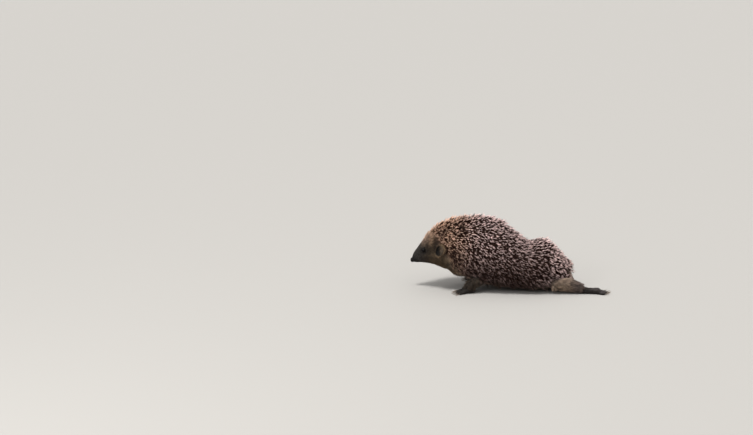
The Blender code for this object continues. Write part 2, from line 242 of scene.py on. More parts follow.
def modified(mesh: Mesh, kind: str, group: np.ndarray | None = None, **settings: object) -> Mesh:
    """A new mesh with one modifier applied.

    Args:
        mesh: the mesh to start from, which is removed.
        kind: the modifier's type.
        group: rows of the points that the modifier's vertex group holds, if it has one.
        settings: the modifier's own properties.

    Returns:
        The new mesh.
    """
    helper = bpy.data.objects.new("helper", mesh)
    bpy.context.scene.collection.objects.link(helper)
    modifier = helper.modifiers.new(kind, kind)
    for name, value in settings.items():
        setattr(modifier, name, value)
    if group is not None:
        chosen = helper.vertex_groups.new(name="chosen")
        chosen.add(group.tolist(), 1.0, "REPLACE")
        modifier.vertex_group = chosen.name
    bpy.context.view_layer.update()
    graph = bpy.context.evaluated_depsgraph_get()
    made = bpy.data.meshes.new_from_object(helper.evaluated_get(graph))
    bpy.data.objects.remove(helper)
    bpy.data.meshes.remove(mesh)
    return made


def away_from(places: Iterable[Vector], points: np.ndarray) -> np.ndarray:
    """How far each point is from the nearest of a few places, in mm."""
    return np.min([np.linalg.norm(points - np.array(place), axis=1) for place in places], axis=0) / MM


# --- the animal's places ---------------------------------------------------------------------------


class Zone(IntEnum):
    """The regions of the coat."""

    HEAD = 0
    NECK = 1
    TRUNK = 2
    MANTLE = 3
    EAR = 4
    TAIL = 5
    LEG = 6
    FOOT = 7
    RUMP = 8  # the end of the mantle, where fur takes over from the spines


def zone_word(name: str) -> str:
    """The first word of a node's name, as zones are spelt."""
    return name.split("_")[0].upper()


FLESH = [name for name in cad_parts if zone_word(name) in Zone.__members__]
ZONE_OF = np.array([Zone[zone_word(name)] for name in FLESH])


@dataclass(frozen=True)
class ZoneCoat:
    """How the skin and the coat of one zone are made."""

    ironing: float  # how strongly its facets are ironed out, from 0 to 1
    growth: float  # how far its nodes grow first, so that the gaps between them close
    depth: float  # how thick its coat is
    hair: float  # how long its hair is; the head's lengthens backwards


COATS = {
    Zone.HEAD: ZoneCoat(0.5, 0.4, 0.35, 1.5),  # at the nose: the coat deepens backwards
    Zone.NECK: ZoneCoat(0.6, 1.3, 2.8, 13.0),
    Zone.TRUNK: ZoneCoat(0.6, 1.3, 5.0, 15.0),
    Zone.MANTLE: ZoneCoat(0.6, 1.3, 2.4, 13.0),  # on the forehead: it deepens backwards too
    Zone.EAR: ZoneCoat(0.12, 0.2, 0.3, 3.4),
    Zone.TAIL: ZoneCoat(0.4, 0.4, 0.8, 4.5),
    Zone.LEG: ZoneCoat(0.5, 0.9, 1.8, 7.0),
    Zone.FOOT: ZoneCoat(0.1, 0.1, 0.1, 2.4),
    Zone.RUMP: ZoneCoat(0.6, 1.3, 9.0, 12.0),
}


def by_zone(name: str, zones: np.ndarray) -> np.ndarray:
    """One of a ZoneCoat's values, by its name, for each zone in an array."""
    return np.array([getattr(COATS[zone], name) for zone in Zone])[zones].astype(float)


@dataclass(frozen=True)
class Landmarks:
    """Where the frame has the places that the face and coat are set out from, in metres."""

    nose: Vector
    tip: float
    eyes: dict[str, Vector]
    eye_radius: float
    ears: dict[str, Vector]
    toes: dict[str, tuple[Vector, Vector]]  # each toe's end and the way it points, by its claw's name

    TOE_LENGTH = 9.0
    TOE_HEIGHT = 1.9  # of its middle over the floor

    @staticmethod
    def from_frame() -> "Landmarks":
        """Reads them off the CAD nodes' boxes.

        Returns:
            The landmarks.
        """
        centre = {name: (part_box(name)[0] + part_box(name)[1]) / 2 for name in
                  ("nose", "eye_left", "eye_right", "ear_left", "ear_right")}
        low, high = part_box("eye_left")
        return Landmarks(
            nose=centre["nose"],
            tip=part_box("nose")[0].x,
            eyes={side: centre["eye_" + side] for side in ("left", "right")},
            eye_radius=(high - low).z / 2,
            ears={side: centre["ear_" + side] for side in ("left", "right")},
            toes={name: Landmarks.toe(name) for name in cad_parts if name.startswith("claw_")},
        )

    @staticmethod
    def toe(claw: str) -> tuple[Vector, Vector]:
        """Finds the toe that carries a claw.

        Args:
            claw: the claw's node.

        Returns:
            Where the toe ends, and the level way it points.
        """
        points = read(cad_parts[claw].data.vertices, "co", 3)
        flat = points[:, :2] - points[:, :2].mean(0)
        axis = np.linalg.svd(flat)[2][0]
        ahead = 1.0 if "hind_left" in claw else -1.0
        axis = axis * np.sign(axis[0]) * ahead
        root = points[(flat @ axis).argsort()[:8]].mean(0)
        end = Vector((root[0] + axis[0] * 0.4 * MM, root[1] + axis[1] * 0.4 * MM, Landmarks.TOE_HEIGHT * MM))
        return end, Vector((axis[0], axis[1], 0.0)).normalized()

    def behind(self, points: np.ndarray) -> np.ndarray:
        """How far behind the nose tip each point is, in mm."""
        return (points[:, 0] - self.tip) / MM

    def from_eye(self, points: np.ndarray) -> np.ndarray:
        """Distance to the nearer eye's centre, in mm."""
        return away_from(self.eyes.values(), points)

    def from_ear(self, points: np.ndarray) -> np.ndarray:
        """Distance to the nearer ear's centre, in mm."""
        return away_from(self.ears.values(), points)

    def from_nose(self, points: np.ndarray) -> np.ndarray:
        """Distance to the nose pad's centre, in mm."""
        return away_from([self.nose], points)

    def from_toes(self, points: np.ndarray) -> np.ndarray:
        """Distance to the nearest toe's end, in mm."""
        return away_from([end for end, _ in self.toes.values()], points)


# --- markings, the same for the skin and the coat --------------------------------------------------


@dataclass(frozen=True)
class Markings:
    """The colours of a European hedgehog's coat, some with painted shade or light in them, and where each
    lies.
    """

    marks: Landmarks
    muzzle: str = "#423e3a"
    bridge: str = "#57504a"
    cheek: str = "#5a4d3f"
    eye_patch: str = "#1c1815"  # round each eye
    # fawn forehead fur, laid on upward-facing parts: its own colour with painted top light
    forehead: str = "#bb9c87"
    brow: str = "#b4957b"
    temple: str = "#7c6a54"
    behind_ear: str = "#8a7660"
    ear_shade: str = "#3a2b20"  # painted shade on the fur above the ear, along the first spines
    ear: str = "#6e5d4c"
    ear_rim: str = "#a68b69"
    # painted shade: the ear's bowl, near black as it lies in shade
    ear_hollow: str = "#0d0704"
    throat: str = "#7a664f"
    chest: str = "#8a7564"
    belly: str = "#6b5c4d"
    skirt: str = "#4c3d33"
    fringe: str = "#b39a8a"
    fore_leg: str = "#4c4034"
    thigh: str = "#a9937f"
    hind_leg: str = "#75665e"
    foot: str = "#332e2a"
    crown_spine: str = "#f0c3a6"
    back_spine: str = "#fbdbd5"
    # painted shade: spine tips darker low on the flanks, away from the light above
    low_spine: str = "#50413d"
    under_spines: str = "#140a07"  # painted shade on the hide between the spines
    bare_face: str = "#151212"  # eyelids, lips and the bed of the nose
    sole: str = "#2e2623"

    def colour_of(self, name: str) -> np.ndarray:
        """One of the colours above in linear light."""
        return np.array(linear(getattr(self, name))[:3])

    def layered(self, base: str, *layers: tuple[str, np.ndarray]) -> np.ndarray:
        """Lays colours over one another.

        Args:
            base: the name of the lowest.
            layers: the name of each of the others, and its share at each point.

        Returns:
            The blended colour of each point.
        """
        colours = self.colour_of(base)
        for name, share in layers:
            colours = mix(colours, self.colour_of(name), share)
        return colours

    def colours(self, points: np.ndarray, normals: np.ndarray, zones: np.ndarray) -> np.ndarray:
        """The coat's colour at each point of the skin.

        Args:
            points: places on the skin.
            normals: the skin's directions there.
            zones: the Zone of each.

        Returns:
            A linear colour for each point.
        """
        behind = self.marks.behind(points)
        height = points[:, 2] / MM
        up = normals[:, 2]
        c = self.colour_of
        # Painted shade over the fur above the ear, less where it faces up.
        shade_above_ear_share = ramp(behind, 29, 35) * ramp(height, 59, 66) * (1 - ramp(up, 0.5, 0.85))
        head = self.layered(
            "muzzle",
            ("cheek", ramp(behind, 10, 24)),
            ("bridge", ramp(up, 0.3, 0.8) * ramp(behind, 6, 12) * (1 - ramp(behind, 16, 22))),
            ("temple", ramp(behind, 27, 34) * ramp(height, 50, 60)),
            # The forehead's fawn fur where the head faces up: partly its own colour, partly painted top
            # light.
            ("forehead", ramp(up, 0.2, 0.65) * ramp(behind, 14, 22)),
            ("brow", ramp(behind, 24, 31) * ramp(height - (behind - 24) * 0.9, 64, 70)),
            ("eye_patch", 1 - ramp(self.marks.from_eye(points), 3.4, 6.5)),
            ("throat", ramp(-up, -0.15, 0.5) * ramp(behind, 20, 32)),
            ("behind_ear", ramp(behind, 45, 52) * ramp(height, 40, 50)),
            ("ear_shade", 0.9 * shade_above_ear_share),
        )
        head = mix(c("bare_face"), head, ramp(self.marks.from_nose(points), 4, 11))
        neck = self.layered("throat", ("chest", ramp(behind, 56, 76)), ("behind_ear", ramp(height, 44, 56)))
        trunk = self.layered(
            "chest",
            ("skirt", ramp(behind, 82, 112)),
            ("belly", ramp(-up, 0.35, 0.85)),
            ("fringe", ramp(behind, 206, 228)),
        )
        mantle = self.layered(
            "crown_spine",
            ("back_spine", ramp(behind, 52, 98)),
            # Darker low on the flanks, less so at the rear: painted shade.
            ("low_spine", 1 - ramp(height + 34 * ramp(behind, 160, 215), 22, 106)),
        )
        leg = self.layered("thigh", ("hind_leg", ramp(behind, 232, 252)))
        leg = mix(c("fore_leg"), leg, ramp(behind, 140, 190))
        foot = mix(c("foot"), c("fore_leg"), ramp(height, 5, 12) * 0.5)
        table = {
            Zone.HEAD: head, Zone.NECK: neck, Zone.TRUNK: trunk, Zone.MANTLE: mantle,
            Zone.EAR: np.broadcast_to(c("ear"), head.shape),
            Zone.TAIL: np.broadcast_to(c("fringe"), head.shape) * 0.8,
            Zone.LEG: leg, Zone.FOOT: foot,
            Zone.RUMP: np.broadcast_to(c("fringe"), head.shape),
        }
        out = np.zeros_like(head)
        for zone, values in table.items():
            out[zones == zone] = values[zones == zone]
        return out


# --- finishes --------------------------------------------------------------------------------------


# A colour Mix node's inputs and output by number, because its names repeat for each kind of data.
SHARE, FIRST, SECOND, BLEND = 0, 6, 7, 2
KERATIN_IOR = 1.55


class Finish:
    """What the finishes share: a node material whose output takes the finish's own shader."""

    name: str

    def material(self) -> Material:
        """Builds the node material.

        Returns:
            The material, under the finish's name.
        """
        material = bpy.data.materials.new(self.name)
        material.use_nodes = True
        tree = material.node_tree
        tree.nodes.clear()
        shader = self.shader(tree, node(tree, "TexCoord").outputs["Object"])
        node(tree, "OutputMaterial", {"Surface": shader})
        return material

    def shader(self, tree: NodeTree, place: NodeSocket) -> Node:
        """Adds the nodes, which differ for each finish.

        Args:
            tree: the material's nodes.
            place: where a point lies on the piece.

        Returns:
            The shader.
        """
        raise NotImplementedError


@dataclass(frozen=True)
class SkinFinish(Finish):
    """Hedgehog hide under its coat: dull, finely creased, dark where it is bare."""

    name: str = "hide_creased"
    roughness: float = 0.62
    crease: float = 0.7  # mm between creases; finer ones wouldn't show
    grain: float = 0.25

    def shader(self, tree: NodeTree, place: NodeSocket) -> Node:
        """Adds the finish's nodes.

        Args:
            tree: the material's nodes.
            place: where a point lies on the piece.

        Returns:
            The shader.
        """
        # Creased hide scatters light softly, and the bare rims hold a faint greasy gloss.
        coat = node(tree, "Attribute", attribute_name="coat").outputs["Color"]
        bare = node(tree, "Attribute", attribute_name="bare").outputs["Fac"]
        blotch = node(tree, "TexNoise", {"Vector": place, "Scale": per_mm(6), "Detail": 5.0})
        crease = node(tree, "TexVoronoi", {"Vector": place, "Scale": per_mm(self.crease)},
                      feature="DISTANCE_TO_EDGE")
        grain = node(tree, "TexNoise", {"Vector": place, "Scale": per_mm(self.grain), "Detail": 3.0})
        shade = node(tree, "MapRange", {"Value": blotch, "To Min": 0.55, "To Max": 1.0})
        dimmed = node(tree, "VectorMath", {0: coat, "Scale": shade}, operation="SCALE")
        fold = node(tree, "Math", {0: crease, 1: 0.6}, operation="MULTIPLY")
        relief = node(tree, "Math", {0: fold, 1: grain}, operation="ADD")
        bump = node(tree, "Bump", {"Height": relief, "Strength": 0.55, "Distance": 0.25 * MM})
        gloss = node(tree, "MapRange", {"Value": bare, "To Min": self.roughness + 0.15,
                                        "To Max": self.roughness - 0.2})
        return node(tree, "BsdfPrincipled", {
            "Base Color": dimmed, "Roughness": gloss, "Normal": bump,
            "Specular IOR Level": 0.2,
        })


@dataclass(frozen=True)
class HairFinish(Finish):
    """Dry animal hair: matt, darker at the root, each hair a little off its neighbours' tone."""

    name: str
    root: float = 0.4  # how bright the root is against the tip
    tip: float = 1.35
    spread: float = 0.5  # how far one hair's tone may lie from the next
    roughness: float = 0.55

    def shader(self, tree: NodeTree, place: NodeSocket) -> Node:
        """Adds the finish's nodes.

        Args:
            tree: the material's nodes.
            place: where a point lies on the piece.

        Returns:
            The shader.
        """
        # Keratin hair has scales that blur its gloss, so it shines along its length only softly.
        coat = node(tree, "Attribute", attribute_name="coat").outputs["Color"]
        along = node(tree, "Attribute", attribute_name="along").outputs["Fac"]
        strand = node(tree, "Attribute", attribute_name="strand").outputs["Fac"]
        rise = node(tree, "MapRange", {"Value": along, "To Min": self.root, "To Max": self.tip})
        tone = node(tree, "MapRange", {"Value": strand, "To Min": 1 - self.spread, "To Max": 1 + self.spread})
        both = node(tree, "Math", {0: rise, 1: tone}, operation="MULTIPLY")
        colour = node(tree, "VectorMath", {0: coat, "Scale": both}, operation="SCALE")
        dust = node(tree, "TexNoise", {"Vector": place, "Scale": per_mm(1.5), "Detail": 2.0})
        gloss = node(tree, "MapRange", {"Value": dust, "To Min": self.roughness - 0.08,
                                        "To Max": self.roughness + 0.12})
        return node(tree, "BsdfPrincipled", {
            "Base Color": colour, "Roughness": gloss, "IOR": KERATIN_IOR,
            "Specular IOR Level": 0.25, "Sheen Weight": 0.04, "Sheen Roughness": 0.5,
        })


@dataclass(frozen=True)
class SpineFinish(Finish):
    """A keratin spine, smooth and hard: cream below, painted dark as the shade deep in the coat, then a
    dark-brown band and a pale tip.
    """

    name: str = "keratin_spine"
    # the spine's cream base, painted dark brown as the shade deep in the coat
    cream: str = "#553e34"
    band: str = "#0f0604"
    dusk: str = "#220f0a"
    band_from: float = 0.34
    blur: float = 0.03
    shift: float = 0.07  # how far the band's place varies between spines
    roughness: float = 0.48
    cast: str = "#f0c8ba"  # of its shine

    def shader(self, tree: NodeTree, place: NodeSocket) -> Node:
        """Adds the finish's nodes.

        Args:
            tree: the material's nodes.
            place: where a point lies on the piece.

        Returns:
            The shader.
        """
        # Solid keratin takes a fine satin gloss, and the bands grade into one another over a millimetre.
        coat = node(tree, "Attribute", attribute_name="coat").outputs["Color"]
        along = node(tree, "Attribute", attribute_name="along").outputs["Fac"]
        strand = node(tree, "Attribute", attribute_name="strand").outputs["Fac"]
        moved = node(tree, "Math", {0: strand, 1: self.shift, 2: -self.shift / 2}, operation="MULTIPLY_ADD")
        place_on = node(tree, "Math", {0: along, 1: moved}, operation="ADD")
        pale_from = node(tree, "Attribute", attribute_name="pale_from").outputs["Fac"]
        pale_to = node(tree, "Math", {0: pale_from, 1: self.blur * 2}, operation="ADD")
        begins = node(tree, "MapRange", {"Value": place_on, "From Min": self.band_from - self.blur,
                                         "From Max": self.band_from + self.blur})
        ends = node(tree, "MapRange", {"Value": place_on, "From Min": pale_from,
                                       "From Max": pale_to, "To Min": 1.0, "To Max": 0.0})
        dark = node(tree, "Math", {0: begins, 1: ends}, operation="MULTIPLY")
        tip = node(tree, "MapRange", {"Value": place_on, "From Min": 0.5, "From Max": 0.6})
        # Below the tip the spine takes the shaded cream: painted shade.
        pale = node(tree, "Mix", {SHARE: tip, FIRST: linear(self.cream), SECOND: coat},
                    data_type="RGBA")
        streak = node(tree, "TexNoise", {"Vector": place, "Scale": per_mm(0.9), "Detail": 2.0})
        shade = node(tree, "Mix", {SHARE: streak, FIRST: linear(self.band), SECOND: linear(self.dusk)},
                     data_type="RGBA")
        banded = node(tree, "Mix", {SHARE: dark, FIRST: pale.outputs[BLEND], SECOND: shade.outputs[BLEND]},
                      data_type="RGBA")
        scatter = node(tree, "Math", {0: strand, 1: 7.31}, operation="MULTIPLY")
        part = node(tree, "Math", {0: scatter}, operation="FRACT")
        tone = node(tree, "MapRange", {"Value": part, "To Min": 0.72, "To Max": 1.18})
        colour = node(tree, "VectorMath", {0: banded.outputs[BLEND], "Scale": tone}, operation="SCALE")
        bump = node(tree, "Bump", {"Height": streak, "Strength": 0.25, "Distance": 0.1 * MM})
        return node(tree, "BsdfPrincipled", {
            "Base Color": colour, "Roughness": self.roughness, "Normal": bump, "IOR": KERATIN_IOR,
            "Specular IOR Level": 0.2, "Specular Tint": linear(self.cast),
        })


@dataclass(frozen=True)
class EyeFinish(Finish):
    """A wet eye: near-black iris under a clear cornea."""

    name: str = "wet_eye"
    iris: str = "#140b07"
    pupil: str = "#050404"

    def shader(self, tree: NodeTree, place: NodeSocket) -> Node:
        """Adds the finish's nodes.

        Args:
            tree: the material's nodes.
            place: where a point lies on the piece.

        Returns:
            The shader.
        """
        # The wet cornea gives one small sharp highlight; the iris shows only as a brown cast at its edge.
        fibres = node(tree, "TexNoise", {"Vector": place, "Scale": per_mm(0.4), "Detail": 4.0})
        edge = node(tree, "Attribute", attribute_name="edge").outputs["Fac"]
        share = node(tree, "Math", {0: edge, 1: fibres}, operation="MULTIPLY")
        colour = node(tree, "Mix", {SHARE: share, FIRST: linear(self.pupil), SECOND: linear(self.iris)},
                      data_type="RGBA")
        film = node(tree, "MapRange", {"Value": fibres, "To Min": 0.04, "To Max": 0.09})
        return node(tree, "BsdfPrincipled", {
            "Base Color": colour.outputs[BLEND], "Roughness": film, "IOR": 1.376,
            "Specular IOR Level": 0.16,
        })


@dataclass(frozen=True)
class NoseFinish(Finish):
    """The bare nose pad: black, damp and pebbled."""

    name: str = "damp_nose_pad"
    colour: str = "#060505"
    high: str = "#0f0d0d"
    pebble: float = 0.42  # mm across, as on the animal

    def shader(self, tree: NodeTree, place: NodeSocket) -> Node:
        """Adds the finish's nodes.

        Args:
            tree: the material's nodes.
            place: where a point lies on the piece.

        Returns:
            The shader.
        """
        # Pebbled skin under a film of moisture breaks the gloss into many small glints.
        pebbles = node(tree, "TexVoronoi", {"Vector": place, "Scale": per_mm(self.pebble)})
        raised = node(tree, "MapRange", {"Value": pebbles, "To Min": 1.0, "To Max": 0.0})
        colour = node(tree, "Mix", {SHARE: raised, FIRST: linear(self.colour), SECOND: linear(self.high)},
                      data_type="RGBA")
        bump = node(tree, "Bump", {"Height": raised, "Strength": 0.6, "Distance": 0.12 * MM})
        wet = node(tree, "MapRange", {"Value": pebbles, "To Min": 0.28, "To Max": 0.5})
        return node(tree, "BsdfPrincipled", {
            "Base Color": colour.outputs[BLEND], "Roughness": wet, "Normal": bump,
            "Specular IOR Level": 0.22, "IOR": 1.4,
        })


@dataclass(frozen=True)
class ClawFinish(Finish):
    """Horn, worn pale at its point and stained where it leaves the toe."""

    name: str = "worn_horn"
    base: str = "#2c221c"
    point: str = "#786857"

    def shader(self, tree: NodeTree, place: NodeSocket) -> Node:
        """Adds the finish's nodes.

        Args:
            tree: the material's nodes.
            place: where a point lies on the piece.

        Returns:
            The shader.
        """
        # Horn grows in long fibres, which show as faint streaks under a waxy gloss.
        along = node(tree, "Attribute", attribute_name="along").outputs["Fac"]
        fibre = node(tree, "TexNoise", {"Vector": place, "Scale": per_mm(0.6), "Detail": 4.0})
        spread = node(tree, "Math", {0: fibre, 1: 0.5, 2: -0.25}, operation="MULTIPLY_ADD")
        place_on = node(tree, "Math", {0: along, 1: spread}, operation="ADD")
        colour = node(tree, "Mix", {SHARE: place_on, FIRST: linear(self.base), SECOND: linear(self.point)},
                      data_type="RGBA")
        bump = node(tree, "Bump", {"Height": fibre, "Strength": 0.3, "Distance": 0.1 * MM})
        rough = node(tree, "MapRange", {"Value": fibre, "To Min": 0.32, "To Max": 0.5})
        return node(tree, "BsdfPrincipled", {
            "Base Color": colour.outputs[BLEND], "Roughness": rough, "IOR": 1.54, "Normal": bump,
        })


@dataclass(frozen=True)
class FloorFinish(Finish):
    """Matt painted board for the floor."""

    name: str = "painted_board"
    colour: str = "#aaa7a2"

    def shader(self, tree: NodeTree, place: NodeSocket) -> Node:
        """Adds the finish's nodes.

        Args:
            tree: the material's nodes.
            place: where a point lies on the piece.

        Returns:
            The shader.
        """
        # Roller-painted board: an even, pale, matt field with only a trace of texture.
        stipple = node(tree, "TexNoise", {"Vector": place, "Scale": per_mm(3), "Detail": 2.0})
        bump = node(tree, "Bump", {"Height": stipple, "Strength": 0.05, "Distance": 0.2 * MM})
        return node(tree, "BsdfPrincipled", {
            "Base Color": linear(self.colour), "Roughness": 0.75, "Normal": bump,
            "Specular IOR Level": 0.2,
        })


# --- the skin --------------------------------------------------------------------------------------


class Surface:
    """A mesh's points as an array, with what goes from neighbour to neighbour: smoothing and spreading."""

    def __init__(self, mesh: Mesh) -> None:
        """Reads a mesh.

        Args:
            mesh: the mesh, which stays linked so that normals can be read from it.
        """
        self.mesh = mesh
        self.points = read(mesh.vertices, "co", 3)
        self.ends = read(mesh.edges, "vertices", 2, int)
        self.degree = np.maximum(np.bincount(self.ends.ravel(), minlength=len(self.points)), 1)

    def around(self, values: np.ndarray) -> np.ndarray:
        """The mean of each point's neighbours.

        Args:
            values: a number or a row for each point.

        Returns:
            As many rows.
        """
        total = self.summed(values.reshape(len(values), -1), self.ends)
        return (total / self.degree[:, None]).reshape(values.shape)

    @staticmethod
    def summed(rows: np.ndarray, ends: np.ndarray) -> np.ndarray:
        """Adds up each point's neighbours.

        Args:
            rows: a row for each point.
            ends: the two points of each edge.

        Returns:
            As many rows.
        """
        first, second = ends.T
        return np.stack([
            np.bincount(first, weights=column[second], minlength=len(column))
            + np.bincount(second, weights=column[first], minlength=len(column)) for column in rows.T
        ], 1)

    def spread(self, values: np.ndarray, rounds: int, held: np.ndarray | None = None) -> np.ndarray:
        """Blends values over the surface, except at the held points.

        Args:
            values: a number or a row for each point.
            rounds: how many times neighbours are averaged.
            held: points whose values stay.

        Returns:
            The blended values.
        """
        for _ in range(rounds):
            blended = (values + self.around(values)) / 2
            if held is not None:
                blended[held] = values[held]
            values = blended
        return values

    def stretch(self, free: np.ndarray, rounds: int) -> None:
        """Pulls points to their neighbours' mean until they lie like a membrane between the rest.

        Args:
            free: whether each point may move.
            rounds: how many times it does.
        """
        touched = free[self.ends].any(axis=1)
        kept, ends = np.unique(self.ends[touched], return_inverse=True)
        ends = ends.reshape(-1, 2)
        degree = np.bincount(ends.ravel(), minlength=len(kept))[:, None]
        points, loose = self.points[kept], free[kept]
        for _ in range(rounds):
            points[loose] = (self.summed(points, ends) / degree)[loose]
        self.points[kept] = points

    def relax(self, strength: np.ndarray, rounds: int) -> None:
        """Pulls points towards their neighbours' mean, each by its own strength."""
        for _ in range(rounds):
            self.points += strength[:, None] * (self.around(self.points) - self.points)

    def smooth(self, strength: np.ndarray, rounds: int) -> None:
        """Irons facets out and keeps the volume: each round pulls in, then pushes back a little more.

        Args:
            strength: how far each point goes, from 0 to 1.
            rounds: how many times it does.
        """
        for _ in range(rounds):
            self.relax(strength, 1)
            self.relax(-1.04 * strength, 1)

    def normals(self) -> np.ndarray:
        """The direction out of the surface at each point."""
        self.write()
        return read(self.mesh.vertex_normals, "vector", 3)

    def write(self) -> None:
        """Puts the points back in the mesh."""
        self.mesh.vertices.foreach_set("co", self.points.astype(np.float32).ravel())
        self.mesh.update()


@dataclass
class Skin:
    """The whole hide as one closed surface, which lies inside the solids by the coat's depth."""

    marks: Landmarks
    markings: Markings
    cell: float = 0.95  # of the first mesh
    steps: int = 16  # that the skin sinks in
    mantle_depth: float = 9.0
    thinned: float = 0.84  # the share of its hidden faces that the skin loses
    first_rounds: int = 45  # of smoothing over the whole skin, before it sinks
    mantle_rounds: int = 150  # over the mantle, before it sinks
    last_rounds: int = 12  # over the whole skin, after it sank
    mesh: Mesh = field(init=False)

    # Places below are how far behind the nose tip, then how high over the floor.
    SPINED = (75, 56)  # skin further back and higher than this belongs to the mantle
    RUMP_FROM = 222  # how far back the mantle may turn to rump
    RUMP = (235, 45)  # it does so further back and lower than this, along a ragged edge
    LEVELLED = (75, 50)  # lumps further back and higher than this are levelled
    STANDING = 0.72  # a lump has sunk by less than this share of the coat's depth
    # Each pad of the foot that lies sole up: how far it is behind the toe's end, its breadth and height.
    PADS = ((1.2, 1.5, 0.35), (11.0, 2.2, 1.0), (18.0, 2.6, 0.5))
    # Degrees past the eye's opening, and how far the skin stands off the eyeball there.
    LID = ((-9, -3, 0, 3, 7, 13, 19, 26), (-0.7, -0.35, 0.0, 0.42, 0.6, 0.5, 0.22, 0.4))
    # Which way the coat lies on a node, or on those that share its first word: back, outwards and up.
    LIES = {
        "head": (1.0, 0.0, -0.12), "neck": (1.0, 0.0, -0.6), "trunk": (1.0, 0.0, -0.55),
        "mantle": (1.0, 0.0, -0.75), "ear": (1.0, 0.0, -0.6), "tail": (1.0, 0.0, -0.6),
        "leg": (0.1, 0.0, -1.0), "foot": (-1.0, 0.0, -0.25),
        "leg_hind_left": (1.0, 0.0, -0.45), "foot_hind_left": (1.0, 0.0, -0.1),
    }

    def build(self) -> None:
        """Makes the skin's mesh and its coat map."""
        mesh = self.one_surface(self.join_flesh())
        surface = Surface(mesh)
        parts = self.nearest_nodes(surface.points)
        zones = ZONE_OF[parts]
        surface.smooth(by_zone("ironing", zones), self.first_rounds)
        # Rounded more than the coat is deep, so that the mantle doesn't fold over a ridge as it sinks.
        surface.relax(0.5 * surface.spread((zones == Zone.MANTLE).astype(float), 12), self.mantle_rounds)
        surface.write()
        outside = tree_of(surface.points)
        self.sink(surface, zones)
        outline = tree_of(surface.points)
        # Made into one surface again, so that no fold is left where the mantle's edge sank into the flank.
        mesh = self.one_surface(mesh)
        surface = Surface(mesh)
        nearest = nearest_rows(outline, surface.points)
        self.level_lumps(surface, outside)
        soft = by_zone("ironing", zones[nearest]) * (zones[nearest] != Zone.EAR)
        surface.smooth(soft, self.last_rounds)
        surface.write()
        self.mesh = self.thin(mesh, np.isin(zones[nearest], (Zone.MANTLE, Zone.TRUNK, Zone.NECK)))
        self.refine(self.mesh)
        self.surface = Surface(self.mesh)
        nearest = nearest_rows(outline, self.surface.points)
        self.parts, self.zones = parts[nearest], zones[nearest]
        self.settle_zones()
        self.sculpt()
        self.map_coat()

    def settle_zones(self) -> None:
        """Gives the mantle all of the spined back, and the rump the low end of the mantle."""
        points = self.surface.points
        behind = self.marks.behind(points)
        high = (behind > self.SPINED[0]) & (points[:, 2] > self.SPINED[1] * MM)
        self.parts[high], self.zones[high] = FLESH.index("mantle"), Zone.MANTLE
        end = np.flatnonzero((self.zones == Zone.MANTLE) & (behind > self.RUMP_FROM))
        ragged = 5 * waves(points[end], 5, 2.0)
        furred = (behind[end] + ragged > self.RUMP[0]) & (points[end, 2] / MM + ragged < self.RUMP[1])
        self.zones[end[furred]] = Zone.RUMP

    def join_flesh(self) -> Mesh:
        """Joins all the nodes of flesh, each grown a little so that it meets its neighbours.

        Returns:
            One mesh of many shells.
        """
        joined = bmesh.new()
        for name in [*FLESH, "nose"]:
            part = bmesh.new()
            part.from_mesh(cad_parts[name].data)
            bmesh.ops.remove_doubles(part, verts=part.verts, dist=0.01 * MM)
            part.normal_update()
            growth = 0.0 if name == "nose" else COATS[Zone[zone_word(name)]].growth
            for vert in part.verts:
                vert.co += vert.normal * growth * MM
            grown = mesh_of(part, "grown")
            joined.from_mesh(grown)
            bpy.data.meshes.remove(grown)
        return mesh_of(joined, "rough")

    def one_surface(self, rough: Mesh) -> Mesh:
        """Makes one closed mesh round everything in a rough one, and drops the hollows inside it.

        Args:
            rough: the rough mesh, which is removed.

        Returns:
            The new mesh.
        """
        whole = modified(rough, "REMESH", mode="VOXEL", voxel_size=self.cell * MM)
        label = self.shells(Surface(whole))
        outer = np.bincount(label).argmax()
        kept = bmesh.new()
        kept.from_mesh(whole)
        loose = [vert for vert, own in zip(kept.verts, label) if own != outer]
        bmesh.ops.delete(kept, geom=loose, context="VERTS")
        bpy.data.meshes.remove(whole)
        return mesh_of(kept, "skin")

    def shells(self, surface: Surface) -> np.ndarray:
        """Tells a mesh's separate shells apart.

        Args:
            surface: the mesh.

        Returns:
            A number for each point, which all points joined to it share.
        """
        label = np.arange(len(surface.points))
        first, second = surface.ends.T
        while True:
            low = np.minimum(label[first], label[second])
            joined = label.copy()
            for side in (first, second):
                np.minimum.at(joined, side, low)
                np.minimum.at(joined, label[side], low)
            joined = joined[joined]
            if (joined == label).all():
                return label
            label = joined

    def nearest_nodes(self, points: np.ndarray) -> np.ndarray:
        """Finds the node of flesh nearest to each point.

        Args:
            points: places on the skin.

        Returns:
            Indices into FLESH.
        """
        corners, faces, owner = [], [], []
        for index, name in enumerate(FLESH):
            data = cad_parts[name].data
            start = len(corners)
            corners += [vert.co[:] for vert in data.vertices]
            faces += [[start + i for i in face.vertices] for face in data.polygons]
            owner += [index] * len(data.polygons)
        tree = BVHTree.FromPolygons(corners, faces)
        return np.array([owner[tree.find_nearest(Vector(point))[2]] for point in points])

    def coat_depth(self, points: np.ndarray, zones: np.ndarray) -> np.ndarray:
        """How thick the coat is, before zones are blended.

        Args:
            points: places on the skin.
            zones: the Zone of each.

        Returns:
            The depth at each point, in mm.
        """
        behind = self.marks.behind(points)
        depth = by_zone("depth", zones)
        head, mantle = zones == Zone.HEAD, zones == Zone.MANTLE
        depth[head] += 0.75 * ramp(behind[head], 6, 30)
        depth[mantle] += (self.mantle_depth - COATS[Zone.MANTLE].depth) * ramp(behind[mantle], 32, 78)
        return depth * (1 - 0.55 * ramp(behind, 228, 248)) + by_zone("growth", zones) - 0.4

